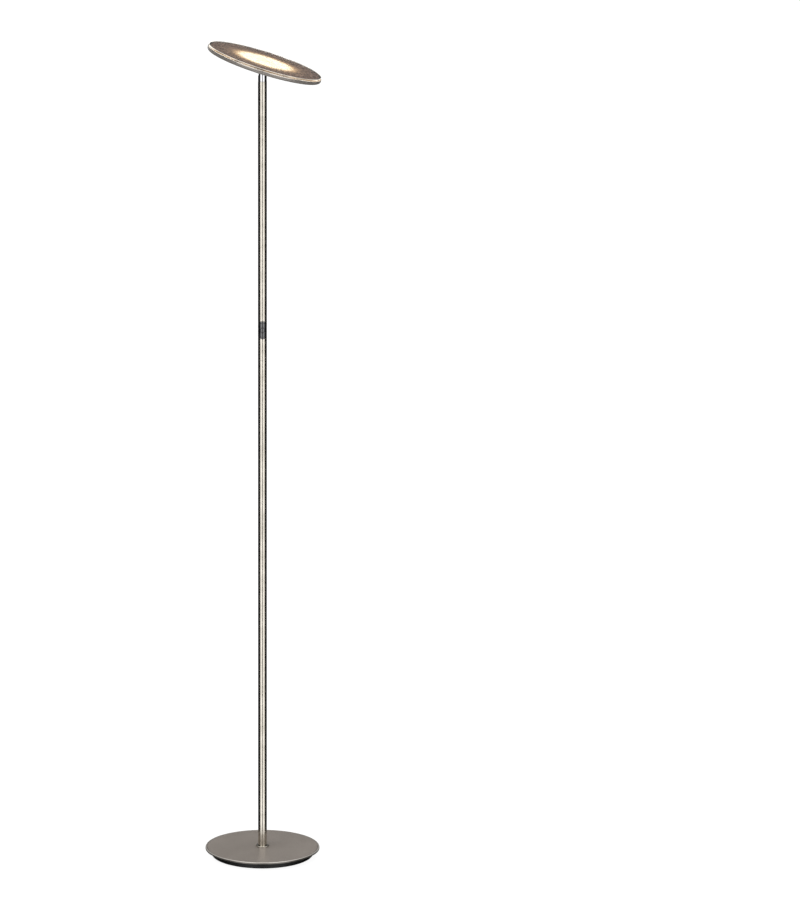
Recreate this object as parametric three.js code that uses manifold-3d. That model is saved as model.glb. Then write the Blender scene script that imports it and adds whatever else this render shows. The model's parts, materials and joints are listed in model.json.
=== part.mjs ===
// Torchiere floor lamp with a tilting disc head, in millimetres, +Z up.
// The origin is on the floor under the pole's axis. The head tilts down towards +X,
// the buttons face -Y and the cord leaves the base towards +Y.

import * as THREE from 'three';
import { mergeVertices } from 'three/addons/utils/BufferGeometryUtils.js';
import Module from 'manifold-3d';

const wasm = await Module();
wasm.setup();

// ---------------------------------------------------------------- driving dimensions

// Overall
const OVERALL_HEIGHT = 1778;          // floor to the top of the clear plate with the head level
const BASE_DIAMETER = 252;            // over the rim of the base cover
const PLATE_DIAMETER = 252;           // clear plate on the head
const POLE_DIAMETER = 19.2;
const HEAD_TILT = THREE.MathUtils.degToRad(17);

// Clearances
const GAP = 0.3;                      // between faces that touch
const SCREW_CLEARANCE = 0.3;          // round a screw in its hole
const SWING_GAP = 0.9;                // between the neck's ears and the head

// Base
const PAD_THICKNESS = 1.5;
const PAD_MARGIN = 8;                 // pad's edge inside the tray's foot
const TRAY_WALL = 1.8;
const TRAY_INSET = 13;                // cover rim to the top of the tray's side
const TRAY_TAPER = 1;                 // how far the side leans in
const TRAY_ROUNDING = 3;
const TRAY_OPENING_MARGIN = 3;        // hand hole round the nut's pocket, closed by the pad
const LEAD_CHANNEL = 3.7;             // height of the space under the weight
const WEIGHT_THICKNESS = 11;
const WEIGHT_MARGIN = 6;              // weight to the tray's side
const WEIGHT_STEP_WIDTH = 20;
const WEIGHT_STEP_HEIGHT = 5;
const COVER_THICKNESS = 1.4;
const RIM_HEIGHT = 4;
const RIM_ROUNDING = 2;
const TRAY_SCREW_COUNT = 4;
const TRAY_SCREW_RADIUS = 1.6;
const TRAY_SCREW_LENGTH = 10;
const TRAY_SCREW_INSET = 14.2;        // from the edge of the weight's flat underside
const TRAY_BOSS_RADIUS = 5.4;
const TRAY_SCREW_SEAT = 2.4;          // depth of a screw's seat in the tray's underside
const COLLAR_WIDTH = 5.4;             // beyond the pole
const COLLAR_HEIGHT = 2.6;
const COLLAR_CHAMFER = 0.9;

// Stud that holds the pole to the base
const STUD_RADIUS = 6;
const STUD_BORE_RADIUS = 4;
const STUD_ENGAGEMENT = 34;           // length of stud inside the pole
const STUD_PROTRUSION = 0.4;          // stud end below the nut
const NUT_THICKNESS = 3;
const NUT_ACROSS_CORNERS = 20;
const WASHER_THICKNESS = 1.2;
const WASHER_RADIUS = 11;
const LOCK_WASHER_THICKNESS = 1;
const LOCK_WASHER_RADIUS = 9.5;
const NUT_POCKET_MARGIN = 2;          // round the washer

// Cord gland and leads
const GLAND_BORE_RADIUS = 2;
const GLAND_MARGIN = 1;               // gland's flange to the tray's floor and top
const GLAND_FLANGE_WIDTH = 1.2;
const GLAND_FLANGE_THICKNESS = 1.7;
const GLAND_CHAMFER = 1;
const LEAD_RADIUS = 1.5;
const LEAD_BEND = 5.7;
const LEAD_END_INSET = 0.05;          // straight end inside the curved length it continues
const HEAD_LEAD_RADIUS = 1.2;
const HEAD_LEAD_CLEARANCE = 1.8;      // between the lead and the tongue

// Pole
const POLE_WALL = 1.2;
const LOWER_LENGTH = 550;
const MIDDLE_LENGTH = 550;
const COUPLER_LENGTH = 50;
const COUPLER_BORE_RADIUS = 5.5;
const FOOT_PLUG_LENGTH = 40;
const FOOT_PLUG_RECESS = 3;

// Control panel
const CONTROL_ABOVE_COUPLER = 21.6;   // coupler's end to the window
const WINDOW_MARGIN = 4.4;            // window's end beyond the last button
const WINDOW_SIDE = 1;                // tube left at each side of the window
const WINDOW_DEPTH_Y = -2;            // how far back the window reaches
const PANEL_RECESS = 0.25;            // panel face below the tube
const PANEL_THICKNESS = 1.65;
const PANEL_WALL = 1.2;               // round the edge of the switches' cavity
const BUTTON_PROUD = 0.35;
const BUTTON_HALF_WIDTH = 5.2;
const BUTTON_LENGTH = 9.6;
const BUTTON_CROWN = 2.8;             // rise of a dimming button's far edge
const BUTTON_DIP = 0.7;               // hollow of its near edge
const BUTTON_FULLNESS = 0.8;          // how far out along the far edge its curve is pulled
const POWER_BUTTON_RADIUS = 4.5;
const BUTTON_SPACING = 1.5;           // between one button and the next
const BUTTON_CLEARANCE = 0.25;
const BUTTON_FLANGE = 0.55;           // flange beyond the button's face
const BUTTON_FLANGE_THICKNESS = 0.8;
const BUTTON_TRAVEL = 0.8;
const SWITCH_CLEARANCE = 0.2;         // left behind a fully pressed button
const SWITCH_HEIGHT = 2.4;
const SWITCH_SIZE = 5;
const SWITCH_BODY_SHARE = 0.7;        // body's part of the switch's height
const SWITCH_PLUNGER_SHARE = 0.6;     // plunger's part of its width
const SWITCH_OVERLAP = 0.5;           // body left behind the plunger
const BOARD_THICKNESS = 1.2;
const BOARD_MARGIN = 0.9;             // board's sides inside the housing
const BOARD_END_MARGIN = 1.5;         // board's ends inside the window's
const BOARD_Y = 0.6;                  // front face of the control board

// Neck and hinge
const NECK_INSET = 0.3;               // neck's surface inside the pole's
const NECK_SPIGOT = 25;
const NECK_EXPOSED = 24;              // pole top to the pivot
const NECK_BORE_RADIUS = 3.5;
const EAR_INSET = 0.7;                // ears' rounding inside the neck's radius
const SLOT_CLEARANCE = 0.8;           // below the turning tongue
const FRICTION_WASHER_THICKNESS = 1.1;
const TONGUE_HALF_THICKNESS = 2.8;
const TONGUE_HALF_WIDTH = 6;
const PIVOT_RADIUS = 2.5;
const PIVOT_HEAD_RADIUS = 4;
const PIVOT_HEAD_HEIGHT = 2.1;
const PIVOT_SEAT_DEPTH = 1.1;         // flats under the screw head and the nut
const PIVOT_NUT_THICKNESS = 2.7;
const BRACKET_PLATE_EDGE = 6;         // plate beyond its screws
const BRACKET_PLATE_THICKNESS = 1.6;
const BRACKET_SCREW_RADIUS = 1.5;
const BRACKET_SCREW_CLEARANCE = 1.9;  // between a screw's head and the neck
const BRACKET_SCREW_HEAD_RADIUS = 2.8;
const BRACKET_SCREW_HEAD_HEIGHT = 1.5;

// Head
const CASING_WALL = 1.2;
const CASING_OVERHANG = 1.3;          // casing beyond the clear plate
const CASING_ROUNDING = 5;
const CASING_LIP_INSET = 0.4;
const SPREADER_THICKNESS = 1.2;
const SPREADER_EDGE = 6;              // spreader beyond its screws
const SPREADER_BORE_RADIUS = 21;
const SPREADER_SCREW_COUNT = 3;
const SPREADER_SCREW_MARGIN = 4;      // between a screw's head and the board
const SPREADER_SCREW_RADIUS = 1.5;
const SPREADER_BOSS_RADIUS = 4.5;
const SPREADER_SCREW_HEAD_HEIGHT = 1.4;
const SPREADER_SCREW_GRIP = 1.6;      // length of screw in the boss
const LED_BOARD_THICKNESS = 1;
const LED_BOARD_INNER = 24;
const LED_BOARD_OUTER = 57;
const LED_RING_MARGIN = 9;            // board's edges to its rings of lights
const INNER_LED_COUNT = 12;
const OUTER_LED_COUNT = 18;
const LED_SIZE = 3;
const LED_HEIGHT = 0.8;
const LED_TO_FILM = 0.6;
const BOARD_SCREW_COUNT = 3;
const BOARD_SCREW_RADIUS = 1.2;
const BOARD_SCREW_HEAD_HEIGHT = 0.9;
const FILM_THICKNESS = 0.6;
const FRAME_WIDTH = 8;
const GASKET_WIDTH = 3.5;
const PLATE_THICKNESS = 4.4;
const PLATE_BEVEL = 0.8;

// Facets
const FINE = 48;
const MEDIUM = 28;
const SMALL = 12;
const LEAD_SIDES = 8;
const POLE_LEAD_STEPS = 60;
const HEAD_LEAD_STEPS = 12;
const QUARTER_ARC = 0.5523;           // handle length of a cubic curve that stands for a quarter circle
const SCREW_CROWN = 0.5;

// ---------------------------------------------------------------- heights and radii that follow

const padTop = PAD_THICKNESS;
const trayBottom = padTop + GAP;
const trayFloor = trayBottom + TRAY_WALL;
const weightBottom = trayFloor + LEAD_CHANNEL;
const weightTop = weightBottom + WEIGHT_THICKNESS;
const coverBottom = weightTop + GAP;
const baseTop = coverBottom + COVER_THICKNESS;
const rimBottom = baseTop - RIM_HEIGHT;
const rimRadius = BASE_DIAMETER / 2;
const trayRadius = rimRadius - TRAY_INSET;
const padRadius = trayRadius - TRAY_TAPER - PAD_MARGIN;
const weightRadius = trayRadius - TRAY_TAPER - TRAY_WALL - WEIGHT_MARGIN;
const weightFlatRadius = weightRadius - WEIGHT_STEP_WIDTH;
const trayScrewCircle = weightFlatRadius - TRAY_SCREW_INSET;
const glandHeight = (trayFloor + rimBottom) / 2;
const glandFlangeRadius = (rimBottom - trayFloor) / 2 - GLAND_MARGIN;
const glandBodyRadius = glandFlangeRadius - GLAND_FLANGE_WIDTH;
const leadHeight = trayFloor + GAP + LEAD_RADIUS;

const nutPocketDepth = 4 * GAP + WASHER_THICKNESS + LOCK_WASHER_THICKNESS + NUT_THICKNESS
  + STUD_PROTRUSION;
const nutPocketTop = weightBottom + nutPocketDepth;
const washerBottom = nutPocketTop - GAP - WASHER_THICKNESS;
const lockWasherBottom = washerBottom - GAP - LOCK_WASHER_THICKNESS;
const nutBottom = lockWasherBottom - GAP - NUT_THICKNESS;
const studHole = STUD_RADIUS + SCREW_CLEARANCE;
const nutPocketRadius = WASHER_RADIUS + NUT_POCKET_MARGIN;
const trayOpeningRadius = nutPocketRadius + TRAY_OPENING_MARGIN;

const poleRadius = POLE_DIAMETER / 2;
const poleBore = poleRadius - POLE_WALL;
const insertRadius = poleBore - GAP;
const poleBottom = baseTop + GAP;
const lowerJoint = poleBottom + LOWER_LENGTH;
const upperJoint = lowerJoint + GAP + MIDDLE_LENGTH;
const lastButton = POWER_BUTTON_RADIUS + BUTTON_SPACING + BUTTON_LENGTH;
const windowHalfLength = lastButton + WINDOW_MARGIN;
const controlHeight = upperJoint + COUPLER_LENGTH / 2 + CONTROL_ABOVE_COUPLER + windowHalfLength;

const neckRadius = poleRadius - NECK_INSET;
const earRadius = neckRadius - EAR_INSET;
const pivotSeat = neckRadius - PIVOT_SEAT_DEPTH;
const headFloor = earRadius + SWING_GAP;
const slotDepth = Math.hypot(TONGUE_HALF_WIDTH, headFloor) + SLOT_CLEARANCE;
const slotHalfWidth = TONGUE_HALF_THICKNESS + FRICTION_WASHER_THICKNESS + 2 * GAP;
const bracketScrewOffset = neckRadius + BRACKET_SCREW_HEAD_RADIUS + BRACKET_SCREW_CLEARANCE;
const bracketPlateRadius = bracketScrewOffset + BRACKET_PLATE_EDGE;
const headLeadOffset = TONGUE_HALF_WIDTH + HEAD_LEAD_RADIUS + HEAD_LEAD_CLEARANCE;
const plateFlangeBottom = headFloor + CASING_WALL + GAP;
const plateFlangeTop = plateFlangeBottom + BRACKET_PLATE_THICKNESS;
const spreaderBottom = plateFlangeTop + GAP;
const spreaderTop = spreaderBottom + SPREADER_THICKNESS;
const ledBoardBottom = spreaderTop + GAP;
const ledBoardTop = ledBoardBottom + LED_BOARD_THICKNESS;
const headLeadLevel = ledBoardBottom + LED_BOARD_THICKNESS / 2;
const headLeadBend = headLeadLevel - plateFlangeTop;
const filmBottom = ledBoardTop + LED_HEIGHT + LED_TO_FILM;
const filmTop = filmBottom + FILM_THICKNESS;
const plateBottom = filmTop + 2 * GAP;
const plateTop = plateBottom + PLATE_THICKNESS;
const innerLedRing = LED_BOARD_INNER + LED_RING_MARGIN;
const outerLedRing = LED_BOARD_OUTER - LED_RING_MARGIN;
const boardScrewCircle = (innerLedRing + outerLedRing) / 2;
const spreaderScrewCircle = LED_BOARD_OUTER + 2 * SPREADER_SCREW_RADIUS + SPREADER_SCREW_MARGIN;
const spreaderRadius = spreaderScrewCircle + SPREADER_EDGE;
const plateRadius = PLATE_DIAMETER / 2;
const casingRadius = plateRadius + CASING_OVERHANG;
const frameRadius = casingRadius - CASING_WALL - CASING_LIP_INSET - GAP;
const filmRadius = frameRadius - GASKET_WIDTH - GAP;

const pivotHeight = OVERALL_HEIGHT - plateTop;
const poleTop = pivotHeight - NECK_EXPOSED;

// ---------------------------------------------------------------- solids and shapes

/** Turns a closed three.js geometry into a solid that can be joined and cut. */
function solidOf(geometry) {
  const bare = geometry.clone();
  bare.deleteAttribute('normal');
  bare.deleteAttribute('uv');
  const merged = mergeVertices(bare);
  const index = merged.index.array;
  const kept = [];
  for (let i = 0; i < index.length; i += 3) {
    const [a, b, c] = [index[i], index[i + 1], index[i + 2]];
    if (a !== b && b !== c && c !== a) kept.push(a, b, c);
  }
  const mesh = new wasm.Mesh({
    numProp: 3,
    vertProperties: new Float32Array(merged.attributes.position.array),
    triVerts: new Uint32Array(kept),
  });
  return new wasm.Manifold(mesh);
}

/** Turns a solid back into a three.js geometry. */
function geometryOf(solid) {
  const mesh = solid.getMesh();
  const geometry = new THREE.BufferGeometry();
  geometry.setAttribute('position', new THREE.BufferAttribute(mesh.vertProperties, 3));
  geometry.setIndex(new THREE.BufferAttribute(mesh.triVerts, 1));
  geometry.computeVertexNormals();
  return geometry;
}

/** Joins geometries into one. */
function join(first, ...others) {
  return geometryOf(others.reduce((solid, other) => solid.add(solidOf(other)), solidOf(first)));
}

/** Cuts the tools out of a body. */
function cut(body, ...tools) {
  return geometryOf(tools.reduce((solid, tool) => solid.subtract(solidOf(tool)), solidOf(body)));
}

/** Keeps what all the geometries share. */
function common(first, ...others) {
  return geometryOf(others.reduce((solid, other) => solid.intersect(solidOf(other)), solidOf(first)));
}

/** Turns a profile of [radius, height] points about the Z axis, bottom first and outside upwards. */
function lathe(profile, segments) {
  const points = profile.map(([radius, height]) => new THREE.Vector2(radius, height));
  const turned = new THREE.LatheGeometry(points, segments).rotateX(Math.PI / 2);
  return geometryOf(solidOf(turned));
}

/** Points of an arc in a profile, from one angle to another in degrees. */
function arc(centreR, centreZ, radius, from, to, steps) {
  const points = [];
  for (let i = 0; i <= steps; i += 1) {
    const angle = THREE.MathUtils.degToRad(from + (to - from) * i / steps);
    points.push([centreR + radius * Math.cos(angle), centreZ + radius * Math.sin(angle)]);
  }
  return points;
}

/** Round bar on the Z axis. */
function bar(radius, bottom, top, segments = SMALL) {
  return lathe([[0, bottom], [radius, bottom], [radius, top], [0, top]], segments);
}

/** Tube or washer on the Z axis. */
function ring(inner, outer, bottom, top, segments = SMALL) {
  return lathe([[inner, bottom], [outer, bottom], [outer, top], [inner, top], [inner, bottom]], segments);
}

/** Box between two corners. */
function block(low, high) {
  const size = high.map((value, axis) => value - low[axis]);
  const centre = high.map((value, axis) => (value + low[axis]) / 2);
  return new THREE.BoxGeometry(...size).translate(...centre);
}

/** Turns a shape that stands on +Z so that it lies along -Y, its foot on the XZ plane. */
function alongMinusY(geometry) {
  return geometry.rotateX(Math.PI / 2);
}

/** Turns a shape that stands on +Z so that it lies along +Y. */
function alongY(geometry) {
  return geometry.rotateX(-Math.PI / 2);
}

/** Moves a copy round the Z axis: one place of a ring of places. */
function aroundZ(geometry, radius, index, count, start = 0) {
  const angle = start + 2 * Math.PI * index / count;
  return geometry.clone().translate(radius * Math.cos(angle), radius * Math.sin(angle), 0);
}

/** Tube along a curve, with a round section. */
function lead(path, radius, steps) {
  const section = new THREE.Shape().absarc(0, 0, radius, 0, 2 * Math.PI);
  const options = { steps, extrudePath: path, curveSegments: LEAD_SIDES / 2 };
  return geometryOf(solidOf(new THREE.ExtrudeGeometry(section, options)));
}

/** Screw standing on its head's underside: head upwards from zero, shank downwards. */
function screw(headRadius, headHeight, shankRadius, length) {
  const crown = arc(headRadius - SCREW_CROWN, headHeight - SCREW_CROWN, SCREW_CROWN, 0, 90, 1);
  return lathe([[0, -length], [shankRadius, -length], [shankRadius, 0], [headRadius, 0],
    ...crown, [0, headHeight]], SMALL);
}

/** Bar with six sides and a round bore, on the Z axis. */
function hexNut(acrossCorners, bore, bottom, top) {
  return cut(bar(acrossCorners / 2, bottom, top, 6), bar(bore, bottom - 1, top + 1));
}

// ---------------------------------------------------------------- finishes

const FINISHES = {
  nickel: { color: 0xb9b4a8, roughness: 0.35, metalness: 1 },
  basePaint: { color: 0x8a827b, roughness: 0.4, metalness: 0.6 },
  headPaint: { color: 0x9a8f84, roughness: 0.45, metalness: 0.5 },
  chrome: { color: 0xe0e0e0, roughness: 0.08, metalness: 1 },
  steel: { color: 0x8f9194, roughness: 0.4, metalness: 1 },
  castIron: { color: 0x4a4a4c, roughness: 0.8, metalness: 0.6 },
  aluminium: { color: 0xc4c7ca, roughness: 0.4, metalness: 1 },
  brass: { color: 0xc2a15a, roughness: 0.35, metalness: 1 },
  blackPlastic: { color: 0x141414, roughness: 0.5, metalness: 0 },
  glossBlack: { color: 0x0a0a0b, roughness: 0.12, metalness: 0 },
  rubber: { color: 0x1c1c1c, roughness: 0.9, metalness: 0 },
  leadJacket: { color: 0x222222, roughness: 0.6, metalness: 0 },
  circuitBoard: { color: 0x1f4a2c, roughness: 0.5, metalness: 0 },
  ledBoard: { color: 0xf0eee8, roughness: 0.5, metalness: 0 },
  film: { color: 0x8d7a6e, roughness: 0.3, metalness: 0 },
  whitePlastic: { color: 0xe8e6e0, roughness: 0.5, metalness: 0 },
  clear: { color: 0xf4f6f6, roughness: 0.03, metalness: 0 },
};

/** Adds a named sub-part to a group. */
function add(group, name, finish, geometry) {
  const mesh = new THREE.Mesh(geometry, new THREE.MeshStandardMaterial(FINISHES[finish]));
  mesh.name = name;
  group.add(mesh);
  return mesh;
}

// ---------------------------------------------------------------- base

function footPad() {
  return bar(padRadius, 0, padTop, MEDIUM);
}

/** Moulded tray: floor, leaning side, flange under the cover, bosses and the gland's hole. */
function baseTray() {
  const foot = trayRadius - TRAY_TAPER;
  const flange = rimRadius - COVER_THICKNESS - GAP;
  const shoulder = rimBottom + GAP;
  const profile = [
    [trayOpeningRadius, trayBottom],
    ...arc(foot - TRAY_ROUNDING, trayBottom + TRAY_ROUNDING, TRAY_ROUNDING, -90, 0, 3),
    [trayRadius, shoulder],
    [flange, shoulder],
    [flange, weightTop],
    [trayRadius - TRAY_WALL, weightTop],
    [foot - TRAY_WALL, trayFloor],
    [trayOpeningRadius, trayFloor],
    [trayOpeningRadius, trayBottom],
  ];
  let tray = lathe(profile, FINE);
  const headRoom = TRAY_SCREW_RADIUS * 2 + SCREW_CLEARANCE;
  for (let i = 0; i < TRAY_SCREW_COUNT; i += 1) {
    const place = (part) => aroundZ(part, trayScrewCircle, i, TRAY_SCREW_COUNT, Math.PI / 4);
    tray = join(tray, place(bar(TRAY_BOSS_RADIUS, trayBottom + GAP, weightBottom - GAP)));
    tray = cut(
      tray,
      place(bar(headRoom, trayBottom - 1, trayBottom + TRAY_SCREW_SEAT)),
      place(bar(TRAY_SCREW_RADIUS + SCREW_CLEARANCE, trayBottom, weightBottom)),
    );
  }
  const hole = alongY(bar(glandBodyRadius + GAP, trayRadius - 2 * TRAY_WALL - TRAY_TAPER, rimRadius));
  return cut(tray, hole.translate(0, 0, glandHeight));
}

/** Cast disc with a stepped edge, a pocket for the nut and holes for the tray screws. */
function baseWeight() {
  const step = weightBottom + WEIGHT_STEP_HEIGHT;
  const disc = lathe([
    [studHole, nutPocketTop], [nutPocketRadius, nutPocketTop], [nutPocketRadius, weightBottom],
    [weightFlatRadius, weightBottom], [weightFlatRadius + WEIGHT_STEP_HEIGHT / 2, step],
    [weightRadius, step], [weightRadius, weightTop], [studHole, weightTop], [studHole, nutPocketTop],
  ], MEDIUM);
  const hole = bar(TRAY_SCREW_RADIUS + SCREW_CLEARANCE, weightBottom - 1, weightTop + 1);
  const holes = [];
  for (let i = 0; i < TRAY_SCREW_COUNT; i += 1) {
    holes.push(aroundZ(hole, trayScrewCircle, i, TRAY_SCREW_COUNT, Math.PI / 4));
  }
  return cut(disc, ...holes);
}

/** Pressed cover: flat top, rounded rim turned down round the tray's flange. */
function baseCover() {
  const innerRounding = RIM_ROUNDING / 2;
  const innerRim = rimRadius - COVER_THICKNESS;
  return lathe([
    [innerRim, rimBottom],
    [rimRadius - GAP, rimBottom],
    [rimRadius, rimBottom + GAP],
    ...arc(rimRadius - RIM_ROUNDING, baseTop - RIM_ROUNDING, RIM_ROUNDING, 0, 90, 3),
    [studHole, baseTop],
    [studHole, coverBottom],
    ...arc(innerRim - innerRounding, coverBottom - innerRounding, innerRounding, 90, 0, 2),
    [innerRim, rimBottom],
  ], FINE);
}

/** Rubber grommet in the back of the tray: two flanges on a body with the lead's bore. */
function cordGland() {
  const wallOuter = trayRadius + GAP;
  const wallInner = trayRadius - TRAY_WALL - TRAY_TAPER - GAP;
  const profile = [
    [GLAND_BORE_RADIUS, wallInner - GLAND_FLANGE_THICKNESS],
    [glandFlangeRadius, wallInner - GLAND_FLANGE_THICKNESS],
    [glandFlangeRadius, wallInner],
    [glandBodyRadius, wallInner],
    [glandBodyRadius, wallOuter],
    [glandFlangeRadius, wallOuter],
    [glandFlangeRadius - GLAND_CHAMFER, wallOuter + GLAND_FLANGE_THICKNESS],
    [GLAND_BORE_RADIUS, wallOuter + GLAND_FLANGE_THICKNESS],
    [GLAND_BORE_RADIUS, wallInner - GLAND_FLANGE_THICKNESS],
  ];
  return alongY(lathe(profile, SMALL)).translate(0, 0, glandHeight);
}

function poleCollar() {
  const bottom = baseTop + GAP;
  const top = bottom + COLLAR_HEIGHT;
  const inner = poleRadius + GAP;
  const outer = poleRadius + COLLAR_WIDTH;
  return lathe([
    [inner, bottom], [outer, bottom], [outer, top - COLLAR_CHAMFER],
    [outer - COLLAR_CHAMFER, top], [inner, top], [inner, bottom],
  ], MEDIUM);
}

/** Lead from the gland, under the weight, up through the stud to the control board. */
function poleLead() {
  const start = trayRadius;
  const half = (start + weightFlatRadius) / 2;
  const handle = QUARTER_ARC * LEAD_BEND;
  const point = (y, z) => new THREE.Vector3(0, y, z);
  const bendTop = nutPocketTop + WEIGHT_THICKNESS;
  const path = new THREE.CurvePath();
  path.add(new THREE.CubicBezierCurve3(point(start, glandHeight), point(half, glandHeight),
    point(half, leadHeight), point(weightFlatRadius, leadHeight)));
  path.add(new THREE.LineCurve3(point(weightFlatRadius, leadHeight), point(LEAD_BEND, leadHeight)));
  path.add(new THREE.CubicBezierCurve3(point(LEAD_BEND, leadHeight), point(LEAD_BEND - handle, leadHeight),
    point(0, leadHeight + LEAD_BEND - handle), point(0, leadHeight + LEAD_BEND)));
  path.add(new THREE.LineCurve3(point(0, leadHeight + LEAD_BEND), point(0, bendTop)));
  const top = controlHeight - windowHalfLength;
  const upright = bar(LEAD_RADIUS - LEAD_END_INSET, bendTop - LEAD_BEND, top, LEAD_SIDES);
  return join(lead(path, LEAD_RADIUS, POLE_LEAD_STEPS), upright);
}

function buildBase(group) {
  add(group, 'foot_pad', 'rubber', footPad());
  add(group, 'base_tray', 'blackPlastic', baseTray());
  add(group, 'base_weight', 'castIron', baseWeight());
  add(group, 'base_cover', 'basePaint', baseCover());
  add(group, 'cord_gland', 'rubber', cordGland());
  add(group, 'pole_collar', 'nickel', poleCollar());
  for (let i = 0; i < TRAY_SCREW_COUNT; i += 1) {
    const part = screw(TRAY_SCREW_RADIUS * 2, TRAY_SCREW_RADIUS, TRAY_SCREW_RADIUS, TRAY_SCREW_LENGTH)
      .rotateX(Math.PI)
      .translate(0, 0, trayBottom + TRAY_SCREW_SEAT - GAP);
    const placed = aroundZ(part, trayScrewCircle, i, TRAY_SCREW_COUNT, Math.PI / 4);
    add(group, `tray_screw_${i + 1}`, 'steel', placed);
  }
  const studTop = poleBottom + STUD_ENGAGEMENT;
  add(group, 'base_stud', 'steel',
    ring(STUD_BORE_RADIUS, STUD_RADIUS, nutBottom - STUD_PROTRUSION, studTop));
  add(group, 'base_washer', 'steel',
    ring(studHole, WASHER_RADIUS, washerBottom, washerBottom + WASHER_THICKNESS));
  add(group, 'lock_washer', 'steel',
    ring(studHole, LOCK_WASHER_RADIUS, lockWasherBottom, lockWasherBottom + LOCK_WASHER_THICKNESS));
  add(group, 'base_nut', 'steel',
    hexNut(NUT_ACROSS_CORNERS, studHole, nutBottom, nutBottom + NUT_THICKNESS));
  add(group, 'pole_lead', 'leadJacket', poleLead());
}

// ---------------------------------------------------------------- pole and control panel

/** Outline of a slot with round ends, standing in the XZ plane once laid along -Y. */
function slotShape(halfWidth, halfLength) {
  const shape = new THREE.Shape();
  const straight = halfLength - halfWidth;
  shape.absarc(0, straight, halfWidth, 0, Math.PI, false);
  shape.absarc(0, -straight, halfWidth, Math.PI, 2 * Math.PI, false);
  shape.closePath();
  return shape;
}

/** Carries a shape of the XZ plane along Y from the back to the front, at the panel's height. */
function carry(shape, front, back) {
  const options = { depth: back - front, bevelEnabled: false, curveSegments: 6 };
  const body = new THREE.ExtrudeGeometry(shape, options);
  return geometryOf(solidOf(body.rotateX(Math.PI / 2).translate(0, back, controlHeight)));
}

/** Bar on the pole's axis that spans the panel. */
function panelBar(radius) {
  return bar(radius, controlHeight - 2 * windowHalfLength, controlHeight + 2 * windowHalfLength, MEDIUM);
}

/** Upper tube with the window for the panel in its front. */
function upperPole() {
  const tube = ring(poleBore, poleRadius, upperJoint + GAP, poleTop, MEDIUM);
  const halfWidth = poleRadius - WINDOW_SIDE;
  return cut(tube, carry(slotShape(halfWidth, windowHalfLength), -2 * poleRadius, WINDOW_DEPTH_Y));
}

/** Outline of a dimming button: straight sides, a crowned far end and a hollow near end. */
function dimShape(grow) {
  const near = POWER_BUTTON_RADIUS + BUTTON_SPACING - grow;
  const far = lastButton + grow;
  const halfWidth = BUTTON_HALF_WIDTH + grow;
  const shape = new THREE.Shape();
  shape.moveTo(halfWidth, near - BUTTON_DIP);
  shape.lineTo(halfWidth, far - BUTTON_CROWN);
  shape.quadraticCurveTo(halfWidth * BUTTON_FULLNESS, far, 0, far);
  shape.quadraticCurveTo(-halfWidth * BUTTON_FULLNESS, far, -halfWidth, far - BUTTON_CROWN);
  shape.lineTo(-halfWidth, near - BUTTON_DIP);
  shape.quadraticCurveTo(0, near + BUTTON_DIP, halfWidth, near - BUTTON_DIP);
  return shape;
}

/** Outline of the round button. */
function powerShape(grow) {
  return new THREE.Shape().absarc(0, 0, POWER_BUTTON_RADIUS + grow, 0, 2 * Math.PI);
}

/** The same shape upside down. */
function flipped(shape) {
  const points = shape.getPoints(6).map((point) => new THREE.Vector2(point.x, -point.y));
  return new THREE.Shape(points.reverse());
}

const BUTTONS = [
  { name: 'dim_up_button', shape: (grow) => dimShape(grow), centre: 1 },
  { name: 'power_button', shape: powerShape, centre: 0 },
  { name: 'dim_down_button', shape: (grow) => flipped(dimShape(grow)), centre: -1 },
];

const buttonPitch = lastButton - BUTTON_LENGTH / 2;
const flangeBack = BOARD_Y - GAP - SWITCH_HEIGHT - SWITCH_CLEARANCE - BUTTON_TRAVEL;
const flangeFront = flangeBack - BUTTON_FLANGE_THICKNESS;
const panelRadius = poleRadius - PANEL_RECESS;
const cavityRadius = panelRadius - PANEL_THICKNESS;

/** Panel that fills the window and reaches back round the switches to the board. */
function controlHousing() {
  const halfWidth = poleRadius - WINDOW_SIDE - GAP;
  const halfLength = windowHalfLength - GAP;
  const face = common(panelBar(panelRadius),
    carry(slotShape(halfWidth, halfLength), -2 * poleRadius, WINDOW_DEPTH_Y - GAP));
  const inside = common(panelBar(insertRadius),
    carry(slotShape(halfWidth, halfLength), -2 * poleRadius, BOARD_Y - GAP));
  const cavity = common(panelBar(cavityRadius),
    carry(slotShape(halfWidth - PANEL_WALL, halfLength - PANEL_WALL), -2 * poleRadius, poleRadius));
  const holes = BUTTONS.map((button) => carry(button.shape(BUTTON_CLEARANCE), -2 * poleRadius, -1));
  return cut(join(face, inside), cavity, ...holes);
}

/** Push button: a face that follows the pole's roundness, on a flange that keeps it in. */
function pushButton(button) {
  const stem = common(panelBar(poleRadius + BUTTON_PROUD),
    carry(button.shape(0), -2 * poleRadius, flangeBack));
  const room = common(panelBar(cavityRadius - BUTTON_CLEARANCE),
    carry(button.shape(BUTTON_FLANGE), flangeFront, flangeBack));
  return join(stem, room);
}

function controlBoard() {
  const half = windowHalfLength - BOARD_END_MARGIN;
  const back = BOARD_Y + BOARD_THICKNESS;
  const halfWidth = Math.sqrt(insertRadius ** 2 - back ** 2) - BOARD_MARGIN;
  return block([-halfWidth, BOARD_Y, controlHeight - half], [halfWidth, back, controlHeight + half]);
}

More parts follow.
